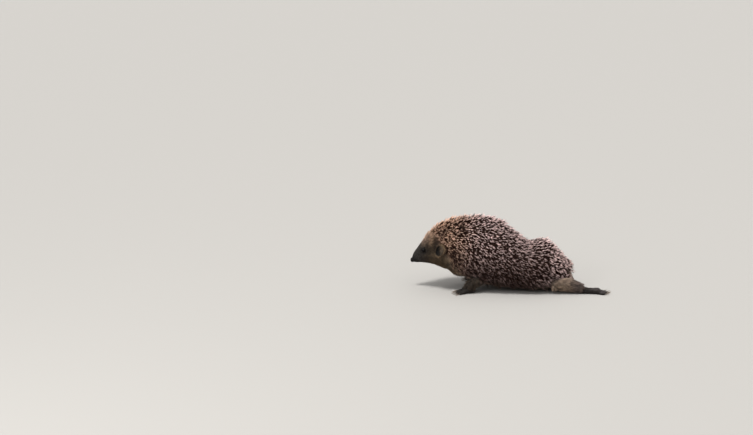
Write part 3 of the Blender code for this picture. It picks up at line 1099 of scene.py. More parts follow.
    def sink(self, surface: Surface, zones: np.ndarray) -> None:
        """Moves the surface in by the coat's depth, a little at a time so that no fold forms.

        Args:
            surface: the skin.
            zones: the Zone of each point.
        """
        depth = self.coat_depth(surface.points, zones)
        held = (zones == Zone.EAR) | (zones == Zone.FOOT)
        depth = surface.spread(depth, 60, held)
        depth *= 0.12 + 0.88 * ramp(self.marks.from_eye(surface.points), 3.6, 8.5)
        soft = by_zone("ironing", zones)
        evened = np.minimum(1.0, depth / 3.0)[:, None]
        for _ in range(self.steps):
            normals = surface.normals()
            way = unit(normals + (surface.spread(normals, 5) - normals) * evened)
            surface.points -= way * (depth / self.steps * MM)[:, None]
            surface.smooth(soft, 2)
        surface.write()

    def level_lumps(self, surface: Surface, outside: KDTree) -> None:
        """Levels places under the spines that the sinking left standing, as a membrane across each.

        Args:
            surface: the sunk surface.
            outside: the points of the outline before it sank.
        """
        behind, height = self.marks.behind(surface.points), surface.points[:, 2] / MM
        core = np.flatnonzero((behind > self.LEVELLED[0]) & (height > self.LEVELLED[1]))
        wanted = self.coat_depth(surface.points[core], np.full(len(core), int(Zone.MANTLE)))
        standing = np.zeros(len(surface.points))
        standing[core] = nearest_mm(outside, surface.points[core]) < self.STANDING * wanted
        surface.stretch(surface.spread(standing, 12) > 0.01, 3000)

    def thin(self, mesh: Mesh, buried: np.ndarray) -> Mesh:
        """Leaves fewer, larger faces where the coat hides them.

        Args:
            mesh: the skin, which is removed.
            buried: whether each point lies under spines or long fur.

        Returns:
            The new mesh.
        """
        ratio = 1 - self.thinned * float(buried.mean())
        thinned = modified(mesh, "DECIMATE", np.flatnonzero(buried), ratio=ratio)
        thinned.name = "skin"
        return thinned

    def refine(self, mesh: Mesh) -> None:
        """Divides the faces of the face, ears and toes, then those of the lids, nose and mouth again.

        Args:
            mesh: the skin.
        """
        bm = bmesh.new()
        bm.from_mesh(mesh)
        toes = tree_of([end for end, _ in self.marks.toes.values()])
        for reach in range(3):
            centres = np.array([face.calc_center_median() for face in bm.faces])
            behind = self.marks.behind(centres)
            near_eye = self.marks.from_eye(centres)
            if reach == 0:
                chosen = (behind < 31) | (nearest_mm(toes, centres) < 9)
                chosen |= self.marks.from_ear(centres) < 11.5
            elif reach == 1:
                low = centres[:, 2] < self.marks.nose.z + 2 * MM
                chosen = (near_eye < 5.8) | ((behind < 16) & low)
            else:
                chosen = near_eye < 4.3
            bm.faces.ensure_lookup_table()
            edges = {edge for i in np.flatnonzero(chosen) for edge in bm.faces[i].edges}
            bmesh.ops.subdivide_edges(bm, edges=list(edges), cuts=1, use_grid_fill=True)
            many = [face for face in bm.faces if len(face.verts) > 4]
            bmesh.ops.triangulate(bm, faces=many)
        bm.to_mesh(mesh)
        bm.free()

    def sculpt(self) -> None:
        """Shapes the ears, toes, mouth and eyelids, and the bed of the nose pad."""
        surface, marks = self.surface, self.marks
        behind = marks.behind(surface.points)
        face = ramp(-behind, -33, -29) * ramp(marks.from_ear(surface.points), 9, 12)
        surface.smooth(0.5 * face, 8)
        self.shape_ears()
        self.shape_toes()
        normals = surface.normals()
        self.open_mouth(normals)
        self.bed_nose()
        self.eye_ways = {}
        for side, centre in marks.eyes.items():
            at = np.array(centre)
            away = np.linalg.norm(surface.points - at, axis=1) / MM
            outward = unit(normals[(away > 2.5) & (away < 5.5)].mean(0))
            self.eye_ways[side] = outward
            self.set_lids(at, outward)
        surface.write()

    def shape_ears(self) -> None:
        """Lays the skin of each ear over its node's own bowl, which is smoother."""
        surface = self.surface
        for side in ("left", "right"):
            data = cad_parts["ear_" + side].data
            corners = [vert.co[:] for vert in data.vertices]
            bowl = BVHTree.FromPolygons(corners, [face.vertices[:] for face in data.polygons])
            for i in np.flatnonzero(self.parts == FLESH.index("ear_" + side)):
                spot, way, _, away = bowl.find_nearest(Vector(surface.points[i]))
                if away < 1.0 * MM:
                    surface.points[i] = spot - way * 0.25 * MM
        ear = (self.zones == Zone.EAR).astype(float)
        surface.smooth(0.45 * ear, 7)
        surface.write()

    def shape_toes(self) -> None:
        """Draws the skin in round every toe, with a knuckle and a pad, so that each stands apart."""
        surface, marks = self.surface, self.marks
        foot = np.flatnonzero(self.zones == Zone.FOOT)
        points = surface.points[foot]
        for _ in range(3):
            gap = np.full(len(points), 1e9)
            goal, hold = points.copy(), np.zeros(len(points))
            for end, way in marks.toes.values():
                end, way = np.array(end), np.array(way)
                along = np.clip((points - end) @ -way / MM, -0.2, marks.TOE_LENGTH)
                axis = end - way * along[:, None] * MM
                off = points - axis
                away = np.linalg.norm(off, axis=1) / MM
                girth = 1.72 + 0.28 * bell(along, 5.2, 1.4) + 0.22 * bell(along, 1.0, 1.3)
                girth = girth + 0.35 * ramp(along, 6.0, marks.TOE_LENGTH)
                nearer = away - girth < gap
                gap = np.where(nearer, away - girth, gap)
                goal = np.where(nearer[:, None], axis + unit(off) * (girth * MM)[:, None], goal)
                ahead = 1 - ramp(along, marks.TOE_LENGTH - 3.5, marks.TOE_LENGTH - 0.2)
                hold = np.where(nearer, ahead, hold)
            hold = hold * (gap < 2.6)
            points = points + (goal - points) * (0.9 * hold)[:, None]
            surface.points[foot] = points
            surface.smooth(0.22 * (self.zones == Zone.FOOT), 1)
            points = surface.points[foot]
        gap = marks.from_toes(surface.points)
        palm = (self.zones == Zone.FOOT) * ramp(gap, 5.5, 8.0) * (1 - ramp(gap, 14.0, 20.0))
        surface.relax(0.6 * palm, 60)
        self.draw_in_shank(gap)
        self.raise_pads()
        surface.points[:, 2] = np.maximum(surface.points[:, 2], 0.15 * MM)
        surface.write()

    def draw_in_shank(self, gap: np.ndarray) -> None:
        """Narrows the foot that lies sole up between its ball and its heel.

        Args:
            gap: how far each point is from the nearest toe's end, in mm.
        """
        points, own = self.surface.points, self.parts == FLESH.index("foot_hind_left")
        ends = [end for name, (end, _) in self.marks.toes.items() if "hind_left" in name]
        middle = np.array([end.y for end in ends]).mean()
        narrow = 0.2 * bell(gap, 21, 7.0) * own
        points[:, 1] -= (points[:, 1] - middle - 1.0 * MM) * narrow
        points[:, 2] -= (points[:, 2] - 2.5 * MM) * narrow * 0.8 * (points[:, 2] > 2.5 * MM)

    def raise_pads(self) -> None:
        """Raises the pads under the toes and the ball of the foot that lies sole up."""
        surface, marks = self.surface, self.marks
        normals = surface.normals()
        lift = np.zeros(len(surface.points))
        for name, (end, way) in marks.toes.items():
            if "hind_left" not in name:
                continue
            for back, breadth, height in self.PADS:
                pad = np.array(end - way * back * MM)[:2]
                away = np.linalg.norm(surface.points[:, :2] - pad, axis=1) / MM
                lift = np.maximum(lift, height * bell(away, 0.0, breadth))
        up = ramp(normals[:, 2], 0.1, 0.6) * (self.zones == Zone.FOOT)
        surface.points += normals * (lift * up * MM)[:, None]

    def bed_nose(self) -> None:
        """Draws the end of the muzzle in until it meets the nose pad all round."""
        surface, marks = self.surface, self.marks
        behind = marks.behind(surface.points)
        near = np.flatnonzero(behind < 12)
        low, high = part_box("nose")
        reach = float((high - low).z) / 2 / MM
        off = (surface.points[near] - np.array(marks.nose)) / MM
        off[:, 0] = 0
        away = np.linalg.norm(off, axis=1)
        rim = np.minimum(away, reach * 0.97)
        moved = rim + (away - rim) * ramp(behind[near], 1.6, 4.6)
        surface.points[near, 1:] += (unit(off) * (moved - away)[:, None])[:, 1:] * MM
        surface.points[near, 0] += 1.0 * MM * (1 - ramp(behind[near], 0.0, 3.5))
        surface.smooth(0.4 * (behind < 8), 3)

    def open_mouth(self, normals: np.ndarray) -> None:
        """Draws the line of the mouth back under the cheek and sets the lower jaw in behind it.

        Args:
            normals: the skin's directions.
        """
        surface, marks = self.surface, self.marks
        behind = marks.behind(surface.points)
        height = (surface.points[:, 2] - marks.nose.z) / MM
        line = -2.3 - 0.25 * ramp(behind, 4, 9) + 2.6 * ramp(behind, 15, 25)
        off = height - line
        length = ramp(behind, 1.5, 4.5) * (1 - ramp(behind, 19, 24))
        groove = 0.85 * bell(off, 0.0, 0.5) * length
        jaw = 0.55 * ramp(-off, 0.2, 1.4) * (1 - ramp(behind, 12, 26)) * ramp(-height, -6.0, 0.0)
        lip = 0.3 * bell(off, 1.1, 0.7) * length
        chin = 2.2 * ramp(-off, 0.0, 1.2) * (1 - ramp(behind, 2.0, 7.0))
        surface.points -= normals * ((groove + jaw - lip) * MM)[:, None]
        surface.points[:, 0] += chin * MM

    def set_lids(self, centre: np.ndarray, outward: np.ndarray) -> None:
        """Wraps the skin round one eyeball, with a lid that stands off it and a pointed opening.

        Args:
            centre: the eyeball's middle.
            outward: the way it looks.
        """
        surface = self.surface
        radius = self.marks.eye_radius / MM
        from_centre = (surface.points - centre) / MM
        away = np.linalg.norm(from_centre, axis=1)
        near = away < 7.5
        ray = from_centre[near] / away[near, None]
        forward = np.array([-1.0, 0.0, -0.35])
        forward = unit(forward - outward * (forward @ outward))
        upward = np.cross(outward, forward)
        upward *= np.sign(upward[2])
        ahead, above = ray @ forward, ray @ upward
        angle = np.degrees(np.arccos(np.clip(ray @ outward, -1, 1)))
        turn = np.arctan2(above, ahead)
        opening = 47 + 6 * np.cos(turn) ** 2 + 8 * np.clip(np.cos(turn), 0, 1) ** 8
        past = angle - opening
        # From under the eyeball up over a rounded margin, then a shallow fold before the cheek.
        lid = np.interp(past, *self.LID)
        lid = lid * (1 + 0.25 * np.sin(turn) * (lid > 0))
        own = away[near]
        height = radius + 0.05 + lid
        wrap = 1 - ramp(past, 14, 48)
        moved = own + (height - own) * wrap
        surface.points[near] = centre + ray * moved[:, None] * MM

    def map_coat(self) -> None:
        """Works out the lie, length, thickness, colour and bareness of the coat over the skin."""
        surface, marks, zones = self.surface, self.marks, self.zones
        points = surface.points
        self.normals = surface.normals()
        side = np.sign(points[:, 1])
        way = np.array([self.LIES.get(name, self.LIES[name.split("_")[0]]) for name in FLESH])[self.parts]
        way = np.stack([way[:, 0], way[:, 1] * side, way[:, 2]], 1)
        behind = marks.behind(points)
        flat = ramp(behind, 150, 205) * (zones == Zone.MANTLE)
        way[:, 2] += 0.3 * flat
        hind = np.isin(zones, (Zone.TRUNK, Zone.MANTLE, Zone.RUMP, Zone.TAIL))
        rump = (ramp(behind, 226, 242) * hind)[:, None]
        way = way * (1 - rump) + rump * np.array([0.35, 0.0, -1.0])
        ear = zones == Zone.EAR
        way = surface.spread(way, 25)
        way[ear] = self.from_ear_root(points[ear])
        way = surface.spread(way, 2)
        self.lie = laid(way, self.normals)
        self.bare = surface.spread(self.bareness(points), 2)
        colours = self.markings.colours(points, self.normals, zones)
        self.hollow = self.ear_hollow(points)
        self.colours = surface.spread(colours, 8, ear)
        c = self.markings.colour_of
        rim = ramp(self.ear_frames(points)[2], 0.72, 0.95) * ear
        self.colours = mix(self.colours, c("ear_rim"), rim * 0.85)
        # Painted shade in the ear's bowl.
        self.colours = mix(self.colours, c("ear_hollow"), self.hollow * (1 - rim))
        self.length = surface.spread(self.hair_length(points), 20, ear)

    def ear_frames(self, points: np.ndarray) -> tuple[np.ndarray, np.ndarray, np.ndarray]:
        """Where each point lies on its side's ear.

        Args:
            points: places on the skin.

        Returns:
            Rows from the ear's middle, rows along its facing, and how far out each point lies: 0 in the
            middle and 1 on the rim.
        """
        off, facing, reach = np.zeros_like(points), np.zeros_like(points), np.full(len(points), 9.0)
        for side, sign in (("left", -1), ("right", 1)):
            own = points[:, 1] * sign > 0
            corners = read(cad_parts["ear_" + side].data.vertices, "co", 3)
            middle = (corners.min(0) + corners.max(0)) / 2
            axes = np.linalg.svd(corners - corners.mean(0))[2]
            face = axes[2] * (1 if axes[2] @ np.array([-1.0, sign * 0.5, 0.0]) > 0 else -1)
            halves = np.abs((corners - middle) @ axes[:2].T).max(0)
            off[own] = points[own] - middle
            facing[own] = face
            reach[own] = np.linalg.norm((off[own] @ axes[:2].T) / halves, axis=1)
        return off, facing, reach

    def ear_hollow(self, points: np.ndarray) -> np.ndarray:
        """Tells the bowl of an ear from its rim and back; the bowl takes the painted shade.

        Args:
            points: places on the skin.

        Returns:
            1 inside the bowl, falling to 0 elsewhere.
        """
        off, facing, reach = self.ear_frames(points)
        inward = ramp((self.normals * facing).sum(1), 0.0, 0.35)
        front = 1 - 0.9 * ramp(off[:, 0] / MM, -1.5, 2.5)
        edge = 0.8 + 0.14 * ramp(-off[:, 0] / MM, 0.0, 4.0)
        return inward * (1 - ramp(reach - edge, 0.0, 0.12)) * front * (self.zones == Zone.EAR)

    def from_ear_root(self, points: np.ndarray) -> np.ndarray:
        """The way that hair lies on the ears: from the root up and out to the rim."""
        off, _, _ = self.ear_frames(points)
        return unit(off + np.array([-0.002, 0.0, 0.006]))

    def bareness(self, points: np.ndarray) -> np.ndarray:
        """Where the skin has no hair: round the nose pad, the lids, the lips and the soles.

        Args:
            points: places on the skin.

        Returns:
            1 where it is bare, falling to 0 elsewhere.
        """
        marks, zones, up = self.marks, self.zones, self.normals[:, 2]
        bare = 1 - ramp(marks.from_nose(points), 4.2, 5.2)
        for side, centre in marks.eyes.items():
            away, way = (points - np.array(centre)) / MM, self.eye_ways[side]
            off_axis = np.linalg.norm(away - np.outer(away @ way, way), axis=1)
            near = np.linalg.norm(away, axis=1) < 6
            bare = np.maximum(bare, near * (1 - ramp(off_axis, 2.7, 3.4)))
        trailing = np.array([name == "foot_hind_left" for name in FLESH])[self.parts]
        turned_up = ramp(up, 0.35, 0.8) * (1 - ramp(marks.from_toes(points), 17, 27))
        sole = np.where(trailing, turned_up, ramp(-up, 0.3, 0.6))
        return np.maximum(bare, sole * (zones == Zone.FOOT))

    def hair_length(self, points: np.ndarray) -> np.ndarray:
        """How long the hair is, before zones are blended.

        Args:
            points: places on the skin.

        Returns:
            The length at each point, in mm.
        """
        behind = self.marks.behind(points)
        length = by_zone("hair", self.zones)
        head = self.zones == Zone.HEAD
        length[head] += 5.5 * ramp(behind[head], 6, 38)
        length[head] += 2.5 * self.brow(points[head])
        upper = (self.zones == Zone.LEG) & (points[:, 2] > 14 * MM)
        length[upper] = 10.0
        return length

    def brow(self, points: np.ndarray) -> np.ndarray:
        """1 where the brow's tuft stands up in front of the first spines."""
        behind, height = self.marks.behind(points), points[:, 2] / MM
        return ramp(behind, 19, 26) * ramp(height - (behind - 24) * 0.9, 58, 68)

    def unwrap(self, piece: Object) -> None:
        """Lays the skin out flat on its bake map.

        Args:
            piece: the skin's object.
        """
        self.mesh.uv_layers.new(name=BAKE_MAP)
        bpy.context.view_layer.objects.active = piece
        piece.select_set(True)
        bpy.ops.object.mode_set(mode="EDIT")
        bpy.ops.mesh.select_all(action="SELECT")
        bpy.ops.uv.smart_project(angle_limit=math.radians(70), island_margin=0.002)
        bpy.ops.object.mode_set(mode="OBJECT")
        piece.select_set(False)

    def dress(self) -> Object:
        """Gives the skin its finish, unwraps it and stands it in for the nodes of flesh.

        Returns:
            The piece.
        """
        c = self.markings.colour_of
        hide = self.colours * 0.62
        # Painted shade: the hide under the spines is darkened to the shade between them.
        hide = mix(hide, c("under_spines"), (self.zones == Zone.MANTLE) * 0.85)
        foot = (self.zones == Zone.FOOT) | (self.zones == Zone.LEG)
        naked = np.where(foot[:, None], c("sole"), c("bare_face"))
        hide = mix(self.surface.spread(hide, 3), naked, self.bare)
        store(self.mesh, "coat", hide)
        store(self.mesh, "bare", np.maximum(self.bare, self.hollow * 0.2))
        piece = add_piece("skin", self.mesh, SkinFinish().material())
        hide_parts(*FLESH)
        self.unwrap(piece)
        self.triangles()
        return piece

    def triangles(self) -> None:
        """Keeps what roots are sown on: each triangle's corners, its place on the map, and its area."""
        mesh = self.mesh
        mesh.calc_loop_triangles()
        self.corners = read(mesh.loop_triangles, "vertices", 3, int)
        loops = read(mesh.loop_triangles, "loops", 3, int)
        places = read(mesh.uv_layers[BAKE_MAP].data, "uv", 2)
        self.places = places[loops]
        a, b, c = (self.surface.points[self.corners[:, k]] for k in range(3))
        self.areas = np.linalg.norm(np.cross(b - a, c - a), axis=1) / 2 / MM**2


# --- hair and spines -------------------------------------------------------------------------------


@dataclass
class Roots:
    """Places on the skin that strands grow from, with what the coat is like there."""

    points: np.ndarray
    normals: np.ndarray
    lie: np.ndarray
    colours: np.ndarray
    length: np.ndarray
    places: np.ndarray

    def __len__(self) -> int:
        """How many roots there are."""
        return len(self.points)

    def only(self, kept: np.ndarray) -> "Roots":
        """The chosen roots."""
        return Roots(*[getattr(self, name)[kept] for name in self.__dataclass_fields__])

    def joined(self, other: "Roots") -> "Roots":
        """These roots and another set together."""
        pairs = [(getattr(self, name), getattr(other, name)) for name in self.__dataclass_fields__]
        return Roots(*[np.concatenate(pair) for pair in pairs])


def sow(skin: Skin, density: np.ndarray, random: np.random.Generator, apart: float = 0.0) -> Roots:
    """Scatters roots over the skin.

    Args:
        skin: the skin with its coat map.
        density: roots for each square mm, at each point of the skin.
        random: the source of chance.
        apart: the least distance between two roots in mm, or 0.

    Returns:
        The roots.
    """
    share = density[skin.corners].mean(1) * skin.areas
    count = int(share.sum())
    picked = np.searchsorted(np.cumsum(share), random.random(count) * share.sum()).clip(0, len(share) - 1)
    weights = random.dirichlet((1.0, 1.0, 1.0), count)
    corners = skin.corners[picked]

    def between(values: np.ndarray) -> np.ndarray:
        """A value of the skin's points, blended at each root."""
        rows = values[corners]
        return np.einsum("ij,ij...->i...", weights, rows)

    points = between(skin.surface.points)
    kept = np.ones(count, bool)
    if apart:
        near = tree_of(points)
        for i, point in enumerate(points):
            if kept[i]:
                for _, other, _ in near.find_range(point, apart * MM):
                    if other > i:
                        kept[other] = False
    roots = Roots(
        points, unit(between(skin.normals)), unit(between(skin.lie)), between(skin.colours),
        between(skin.length), np.einsum("ij,ijk->ik", weights, skin.places[picked]),
    )
    return roots.only(kept)


def waves(points: np.ndarray, size: float, seed: float) -> np.ndarray:
    """Slow noise from -1 to 1 over space, for coats that swirl a little.

    Args:
        points: where it is wanted.
        size: how broad its swells are, in mm.
        seed: a different number gives different swells.

    Returns:
        A number for each point.
    """
    shift = Vector((seed, seed * 1.7, seed * 0.3))
    return np.array([noise.noise(Vector(point) / (size * MM) + shift) for point in points])


@dataclass
class Strands:
    """Many tapered strands as one mesh, each a closed prism bent along its own line."""

    name: str
    slot: str
    lines: np.ndarray  # a row of points along each strand
    radii: np.ndarray  # its radius at each of those points
    roots: Roots
    tone: np.ndarray
    sides: int = 3
    along: tuple[float, ...] = ()  # where along a strand its points lie, or evenly if empty
    pale_from: np.ndarray | None = None  # where along each the pale tip begins

    def mesh(self) -> Mesh:
        """Builds the mesh with its attributes and its bake map.

        Returns:
            The mesh.
        """
        count, stations = self.radii.shape
        self.lines[..., 2] = np.maximum(self.lines[..., 2], 0.3 * MM + self.radii)
        rings, sides = stations - 1, self.sides
        along = np.array(self.along or np.linspace(0, 1, stations))
        heading = unit(np.gradient(self.lines, axis=1))
        across = unit(np.cross(heading, self.roots.normals[:, None, :] + 1e-4))
        over = np.cross(across, heading)
        turn = np.arange(sides) * 2 * np.pi / sides
        ring = across[:, :rings, None] * np.cos(turn)[:, None]
        ring = ring + over[:, :rings, None] * np.sin(turn)[:, None]
        shell = self.lines[:, :rings, None] + ring * self.radii[:, :rings, None, None]
        per = rings * sides + 1
        points = np.concatenate([shell.reshape(count, -1, 3), self.lines[:, -1:]], axis=1).reshape(-1, 3)
        faces, spots = [], []
        for j in range(sides):
            after = (j + 1) % sides
            left, right = j / sides - 0.5, (j + 1) / sides - 0.5
            for k in range(rings - 1):
                low, high = k * sides, (k + 1) * sides
                faces.append([low + j, low + after, high + after, high + j])
                below, above = along[k], along[k + 1]
                spots.append([(left, below), (right, below), (right, above), (left, above)])
            faces.append([(rings - 1) * sides + j, (rings - 1) * sides + after, per - 1])
            spots.append([(left, along[rings - 1]), (right, along[rings - 1]), ((left + right) / 2, 1.0)])
        faces.append(list(range(sides - 1, -1, -1)))
        spots.append([(j / sides - 0.5, 0.0) for j in range(sides - 1, -1, -1)])
        sizes = np.array([len(face) for face in faces])
        corner = np.concatenate(faces)
        spot = np.concatenate(spots) * (PATCH, PATCH) - (0, PATCH / 2)
        loops = (corner[None] + (np.arange(count) * per)[:, None]).ravel()
        mesh = bpy.data.meshes.new(self.name)
        mesh.vertices.add(count * per)
        mesh.vertices.foreach_set("co", points.astype(np.float32).ravel())
        mesh.loops.add(len(loops))
        mesh.loops.foreach_set("vertex_index", loops.astype(np.int32))
        starts = np.concatenate([[0], np.cumsum(np.tile(sizes, count))[:-1]])
        mesh.polygons.add(len(starts))
        mesh.polygons.foreach_set("loop_start", starts.astype(np.int32))
        mesh.update(calc_edges=True)
        layer = mesh.uv_layers.new(name=BAKE_MAP)
        uv = (self.roots.places[:, None] + spot[None]).reshape(-1, 2)
        layer.data.foreach_set("uv", uv.astype(np.float32).ravel())
        store(mesh, "along", np.tile(np.append(np.repeat(along[:rings], sides), 1.0), count))
        store(mesh, "strand", np.repeat(self.tone, per))
        store(mesh, "coat", np.repeat(self.roots.colours, per, axis=0))
        if self.pale_from is not None:
            store(mesh, "pale_from", np.repeat(self.pale_from, per))
        return mesh

    def add(self, material: Material) -> Object:
        """Puts the strands in the scene."""
        return add_piece(self.name, self.mesh(), material)


def bend(roots: Roots, length: np.ndarray, start: np.ndarray, end: np.ndarray, sideways: np.ndarray,
         at: np.ndarray, sunk: float) -> np.ndarray:
    """Lines that leave the skin at one angle and end at another.

    Args:
        roots: where they grow.
        length: each one's length in mm.
        start: the angle above the skin at the root, in degrees.
        end: the same at the tip.
        sideways: how far each turns from the lie of the coat, in degrees.
        at: where along each line its points lie, from 0 to 1.
        sunk: how deep in the skin each starts, in mm.

    Returns:
        The points of each line.
    """
    turn = np.radians(sideways)[:, None]
    along = roots.lie * np.cos(turn) + np.cross(roots.normals, roots.lie) * np.sin(turn)
    share = (at[1:] + at[:-1]) / 2
    rise = np.radians(start[:, None] + (end - start)[:, None] * share)
    step = along[:, None] * np.cos(rise)[..., None] + roots.normals[:, None] * np.sin(rise)[..., None]
    step = step * (length[:, None] * np.diff(at) * MM)[..., None]
    first = roots.points - (step[:, 0] / np.linalg.norm(step[:, 0], axis=1, keepdims=True)) * sunk * MM
    return np.concatenate([first[:, None], first[:, None] + np.cumsum(step, axis=1)], axis=1)


@dataclass
class SpineCoat:
    """The spines: over six thousand, stiff and sharp, lying back at slightly crossed angles."""

    skin: Skin
    density: float = 1.4  # spines tried for each square mm, of which those too close are left out
    apart: float = 1.75
    thickness: float = 0.88
    pale_tip: float = 4.2  # mm
    lift: float = 23.0
    crossing: float = 14.0  # degrees that neighbours are crossed by
    # Thickness along a spine against its greatest: a fine neck, an even shaft and a sharp point.
    AT = (0.0, 0.12, 0.45, 0.78, 0.91, 1.0)
    TAPER = (0.5, 0.9, 1.0, 0.97, 0.72, 0.0)
    BORDERS = (92, 165)  # between the three regions, behind the nose tip
    SEED = 11

    def build(self) -> None:
        """Grows the spines in three regions."""
        skin, random = self.skin, np.random.default_rng(self.SEED)
        inside = skin.surface.spread((skin.zones == Zone.MANTLE).astype(float), 10)
        density = self.density * ramp(inside, 0.3, 0.7)
        # The crown's spines are short, so more of them are needed to cover the hide.
        crown = density * (1 - ramp(skin.marks.behind(skin.surface.points), 45, 85))
        roots = self.even(sow(skin, density, random, self.apart).joined(sow(skin, crown, random, self.apart)))
        roots = self.clear_of_limbs(roots)
        material = SpineFinish().material()
        behind = skin.marks.behind(roots.points)
        first, last = self.BORDERS
        regions = {"spines_crown": behind < first, "spines_back": (behind >= first) & (behind < last),
                   "spines_rump": behind >= last}
        for name, chosen in regions.items():
            self.grow(name, roots.only(chosen), random).add(material)

    def even(self, roots: Roots) -> Roots:
        """Stands the spines on the mantle's broad form, so that creases in it don't turn them.

        Args:
            roots: where the spines stand, which are changed.

        Returns:
            The same roots.
        """
        skin = self.skin
        own = (skin.zones == Zone.MANTLE)[:, None]
        broad = unit(skin.surface.spread(skin.normals * own, 30))
        lie = skin.surface.spread(skin.lie * own, 30)
        near = nearest_rows(tree_of(skin.surface.points), roots.points)
        roots.normals = broad[near]
        roots.lie = laid(lie[near], roots.normals)
        return roots

    def clear_of_limbs(self, roots: Roots) -> Roots:
        """Leaves out the spines that would run into a leg, the tail or an ear.

        Args:
            roots: where the spines stand, whose lengths are changed to the share that leaves room.

        Returns:
            Those that are left.
        """
        skin = self.skin
        limbs = np.flatnonzero(np.isin(skin.zones, (Zone.LEG, Zone.FOOT, Zone.TAIL, Zone.EAR)))
        near = tree_of(skin.surface.points[limbs])
        # A spine's tip lies about this far along the coat and this far out from it.
        along, out = 15 * MM * 0.92, 15 * MM * 0.38
        tips = roots.points + roots.lie * along + roots.normals * out
        middles = (roots.points + tips) / 2
        roots.length = 1 - 0.45 * (1 - ramp(nearest_mm(near, tips), 2.0, 5.0))
        return roots.only(nearest_mm(near, middles) > 2.4)

    def grow(self, name: str, roots: Roots, random: np.random.Generator) -> Strands:
        """Makes one region's spines.

        Args:
            name: the region's piece.
            roots: where its spines stand.
            random: the source of chance.

        Returns:
            The strands.
        """
        count = len(roots)
        marks = self.skin.marks
        behind, height = marks.behind(roots.points), roots.points[:, 2] / MM
        length = 12 + 10.5 * ramp(behind, 26, 70) - 4.5 * (1 - ramp(height, 12, 40))
        length = length - 3 * ramp(behind, 226, 246)
        length = length * roots.length * (0.6 + 0.4 * ramp(marks.from_ear(roots.points), 9, 20))
        # Shorter and steeper in the dip before the hips, where flat ones would run into the rise behind it.
        dip = bell(behind, 176, 13) * ramp(height, 38, 56)
        length = length * (1 - 0.14 * dip)
        length = length * random.normal(1.0, 0.07, count).clip(0.8, 1.15)
        lift = self.lift + 4.0 * waves(roots.points, 14, 3.0) + random.normal(0, 5.5, count)
        lift = lift + 13 * (1 - ramp(behind, 55, 95)) * ramp(height, 55, 75) + 11 * dip
        # Neighbours lean together in small bunches, with dark gaps between them.
        bunch = waves(roots.points, 3.4, 21.0)
        lift = lift + 11 * bunch
        sideways = self.crossing * random.normal(0, 0.7, count) + 6 * waves(roots.points, 30, 9.0)
        sideways = sideways + 34 * waves(roots.points, 4.2, 33.0)
        tips = (lift * 0.8).clip(6, 40)
        lines = bend(roots, length, lift.clip(8, 48), tips, sideways, np.array(self.AT), 1.0)
        thick = self.thickness / 2 * (0.6 + 0.4 * ramp(length, 12, 21)) * random.normal(1.0, 0.08, count)
        radii = np.outer(thick, self.TAPER) * MM
        pale = self.pale_tip * (1 + 0.9 * bunch) * random.normal(1.0, 0.15, count)
        pale_from = 1 - (pale / length).clip(0.05, 0.5)
        return Strands(name, "spines", lines, radii, roots, random.random(count), sides=5, along=self.AT,
                       pale_from=pale_from)


@dataclass
class FurPatch:
    """One region of fur and how its hair grows."""

    name: str
    slot: str
    zones: tuple[Zone, ...]
    density: float  # hairs for each square mm
    thickness: float
    lift: float  # degrees at the root
    lay: float  # degrees at the tip
    stray: float  # degrees that hairs turn from the lie
    clump: float = 0.0  # how far tips are drawn into locks, from 0 to 1
    lock: int = 12  # hairs in a lock
    stations: int = 4
    longer: float = 1.0
    halved: bool = False  # in two pieces, left and right

    def grow(self, skin: Skin, material: Material, seed: int) -> None:
        """Grows the patch on the skin.

        Args:
            skin: the skin with its coat map.
            material: the hair's finish.
            seed: fixes the chance in it.
        """
        random = np.random.default_rng(seed)
        member = np.isin(skin.zones, self.zones).astype(float)
        density = self.density * member * np.clip(1 - 1.3 * skin.bare, 0, 1) * (1 - 0.75 * skin.hollow)
        roots = sow(skin, density, random)
        count = len(roots)
        length = roots.length * self.longer * random.normal(1.0, 0.15, count).clip(0.6, 1.5)
        lift = self.lift * random.normal(1.0, 0.25, count).clip(0.3, 1.8)
        lift = lift * (1 + 0.6 * skin.brow(roots.points))
        sideways = self.stray * random.normal(0, 1.0, count) + 14 * waves(roots.points, 14, 5.0)
        at = np.linspace(0, 1, self.stations)
        lines = bend(roots, length, lift, lift * self.lay / self.lift, sideways, at, 0.4)
        tone = random.random(count)
        if self.clump:
            leader = self.leaders(roots, random)
            lines = self.gather(lines, leader)
            # Locks differ in tone more than the hairs of one lock do, which is what makes them show.
            tone = (0.5 + 1.5 * (0.35 * tone + 0.65 * tone[leader] - 0.5)).clip(0, 1)
        taper = np.linspace(1.0, 0.35, self.stations) ** 0.8
        taper[-1] = 0.0
        radii = np.outer(self.thickness / 2 * random.normal(1.0, 0.15, count).clip(0.6, 1.4), taper) * MM
        side = roots.points[:, 1]
        pieces = {"_left": side < 0, "_right": side >= 0} if self.halved else {"": np.ones(count, bool)}
        for ending, own in pieces.items():
            name = self.name + ending
            Strands(name, self.slot, lines[own], radii[own], roots.only(own), tone[own]).add(material)

    def leaders(self, roots: Roots, random: np.random.Generator) -> np.ndarray:
        """Chooses the hair that each hair's lock follows.

        Args:
            roots: where the hairs grow.
            random: the source of chance.

        Returns:
            The leader's row for each hair.
        """
        count = len(roots)
        leaders = random.permutation(count)[:max(1, count // self.lock)]
        return leaders[nearest_rows(tree_of(roots.points[leaders]), roots.points)]

    def gather(self, lines: np.ndarray, own: np.ndarray) -> np.ndarray:
        """Draws the tips of the hairs of each lock together."""
        share = np.linspace(0, 1, lines.shape[1])[None, :, None] ** 1.4 * self.clump
        return lines + (lines[own] - lines) * share


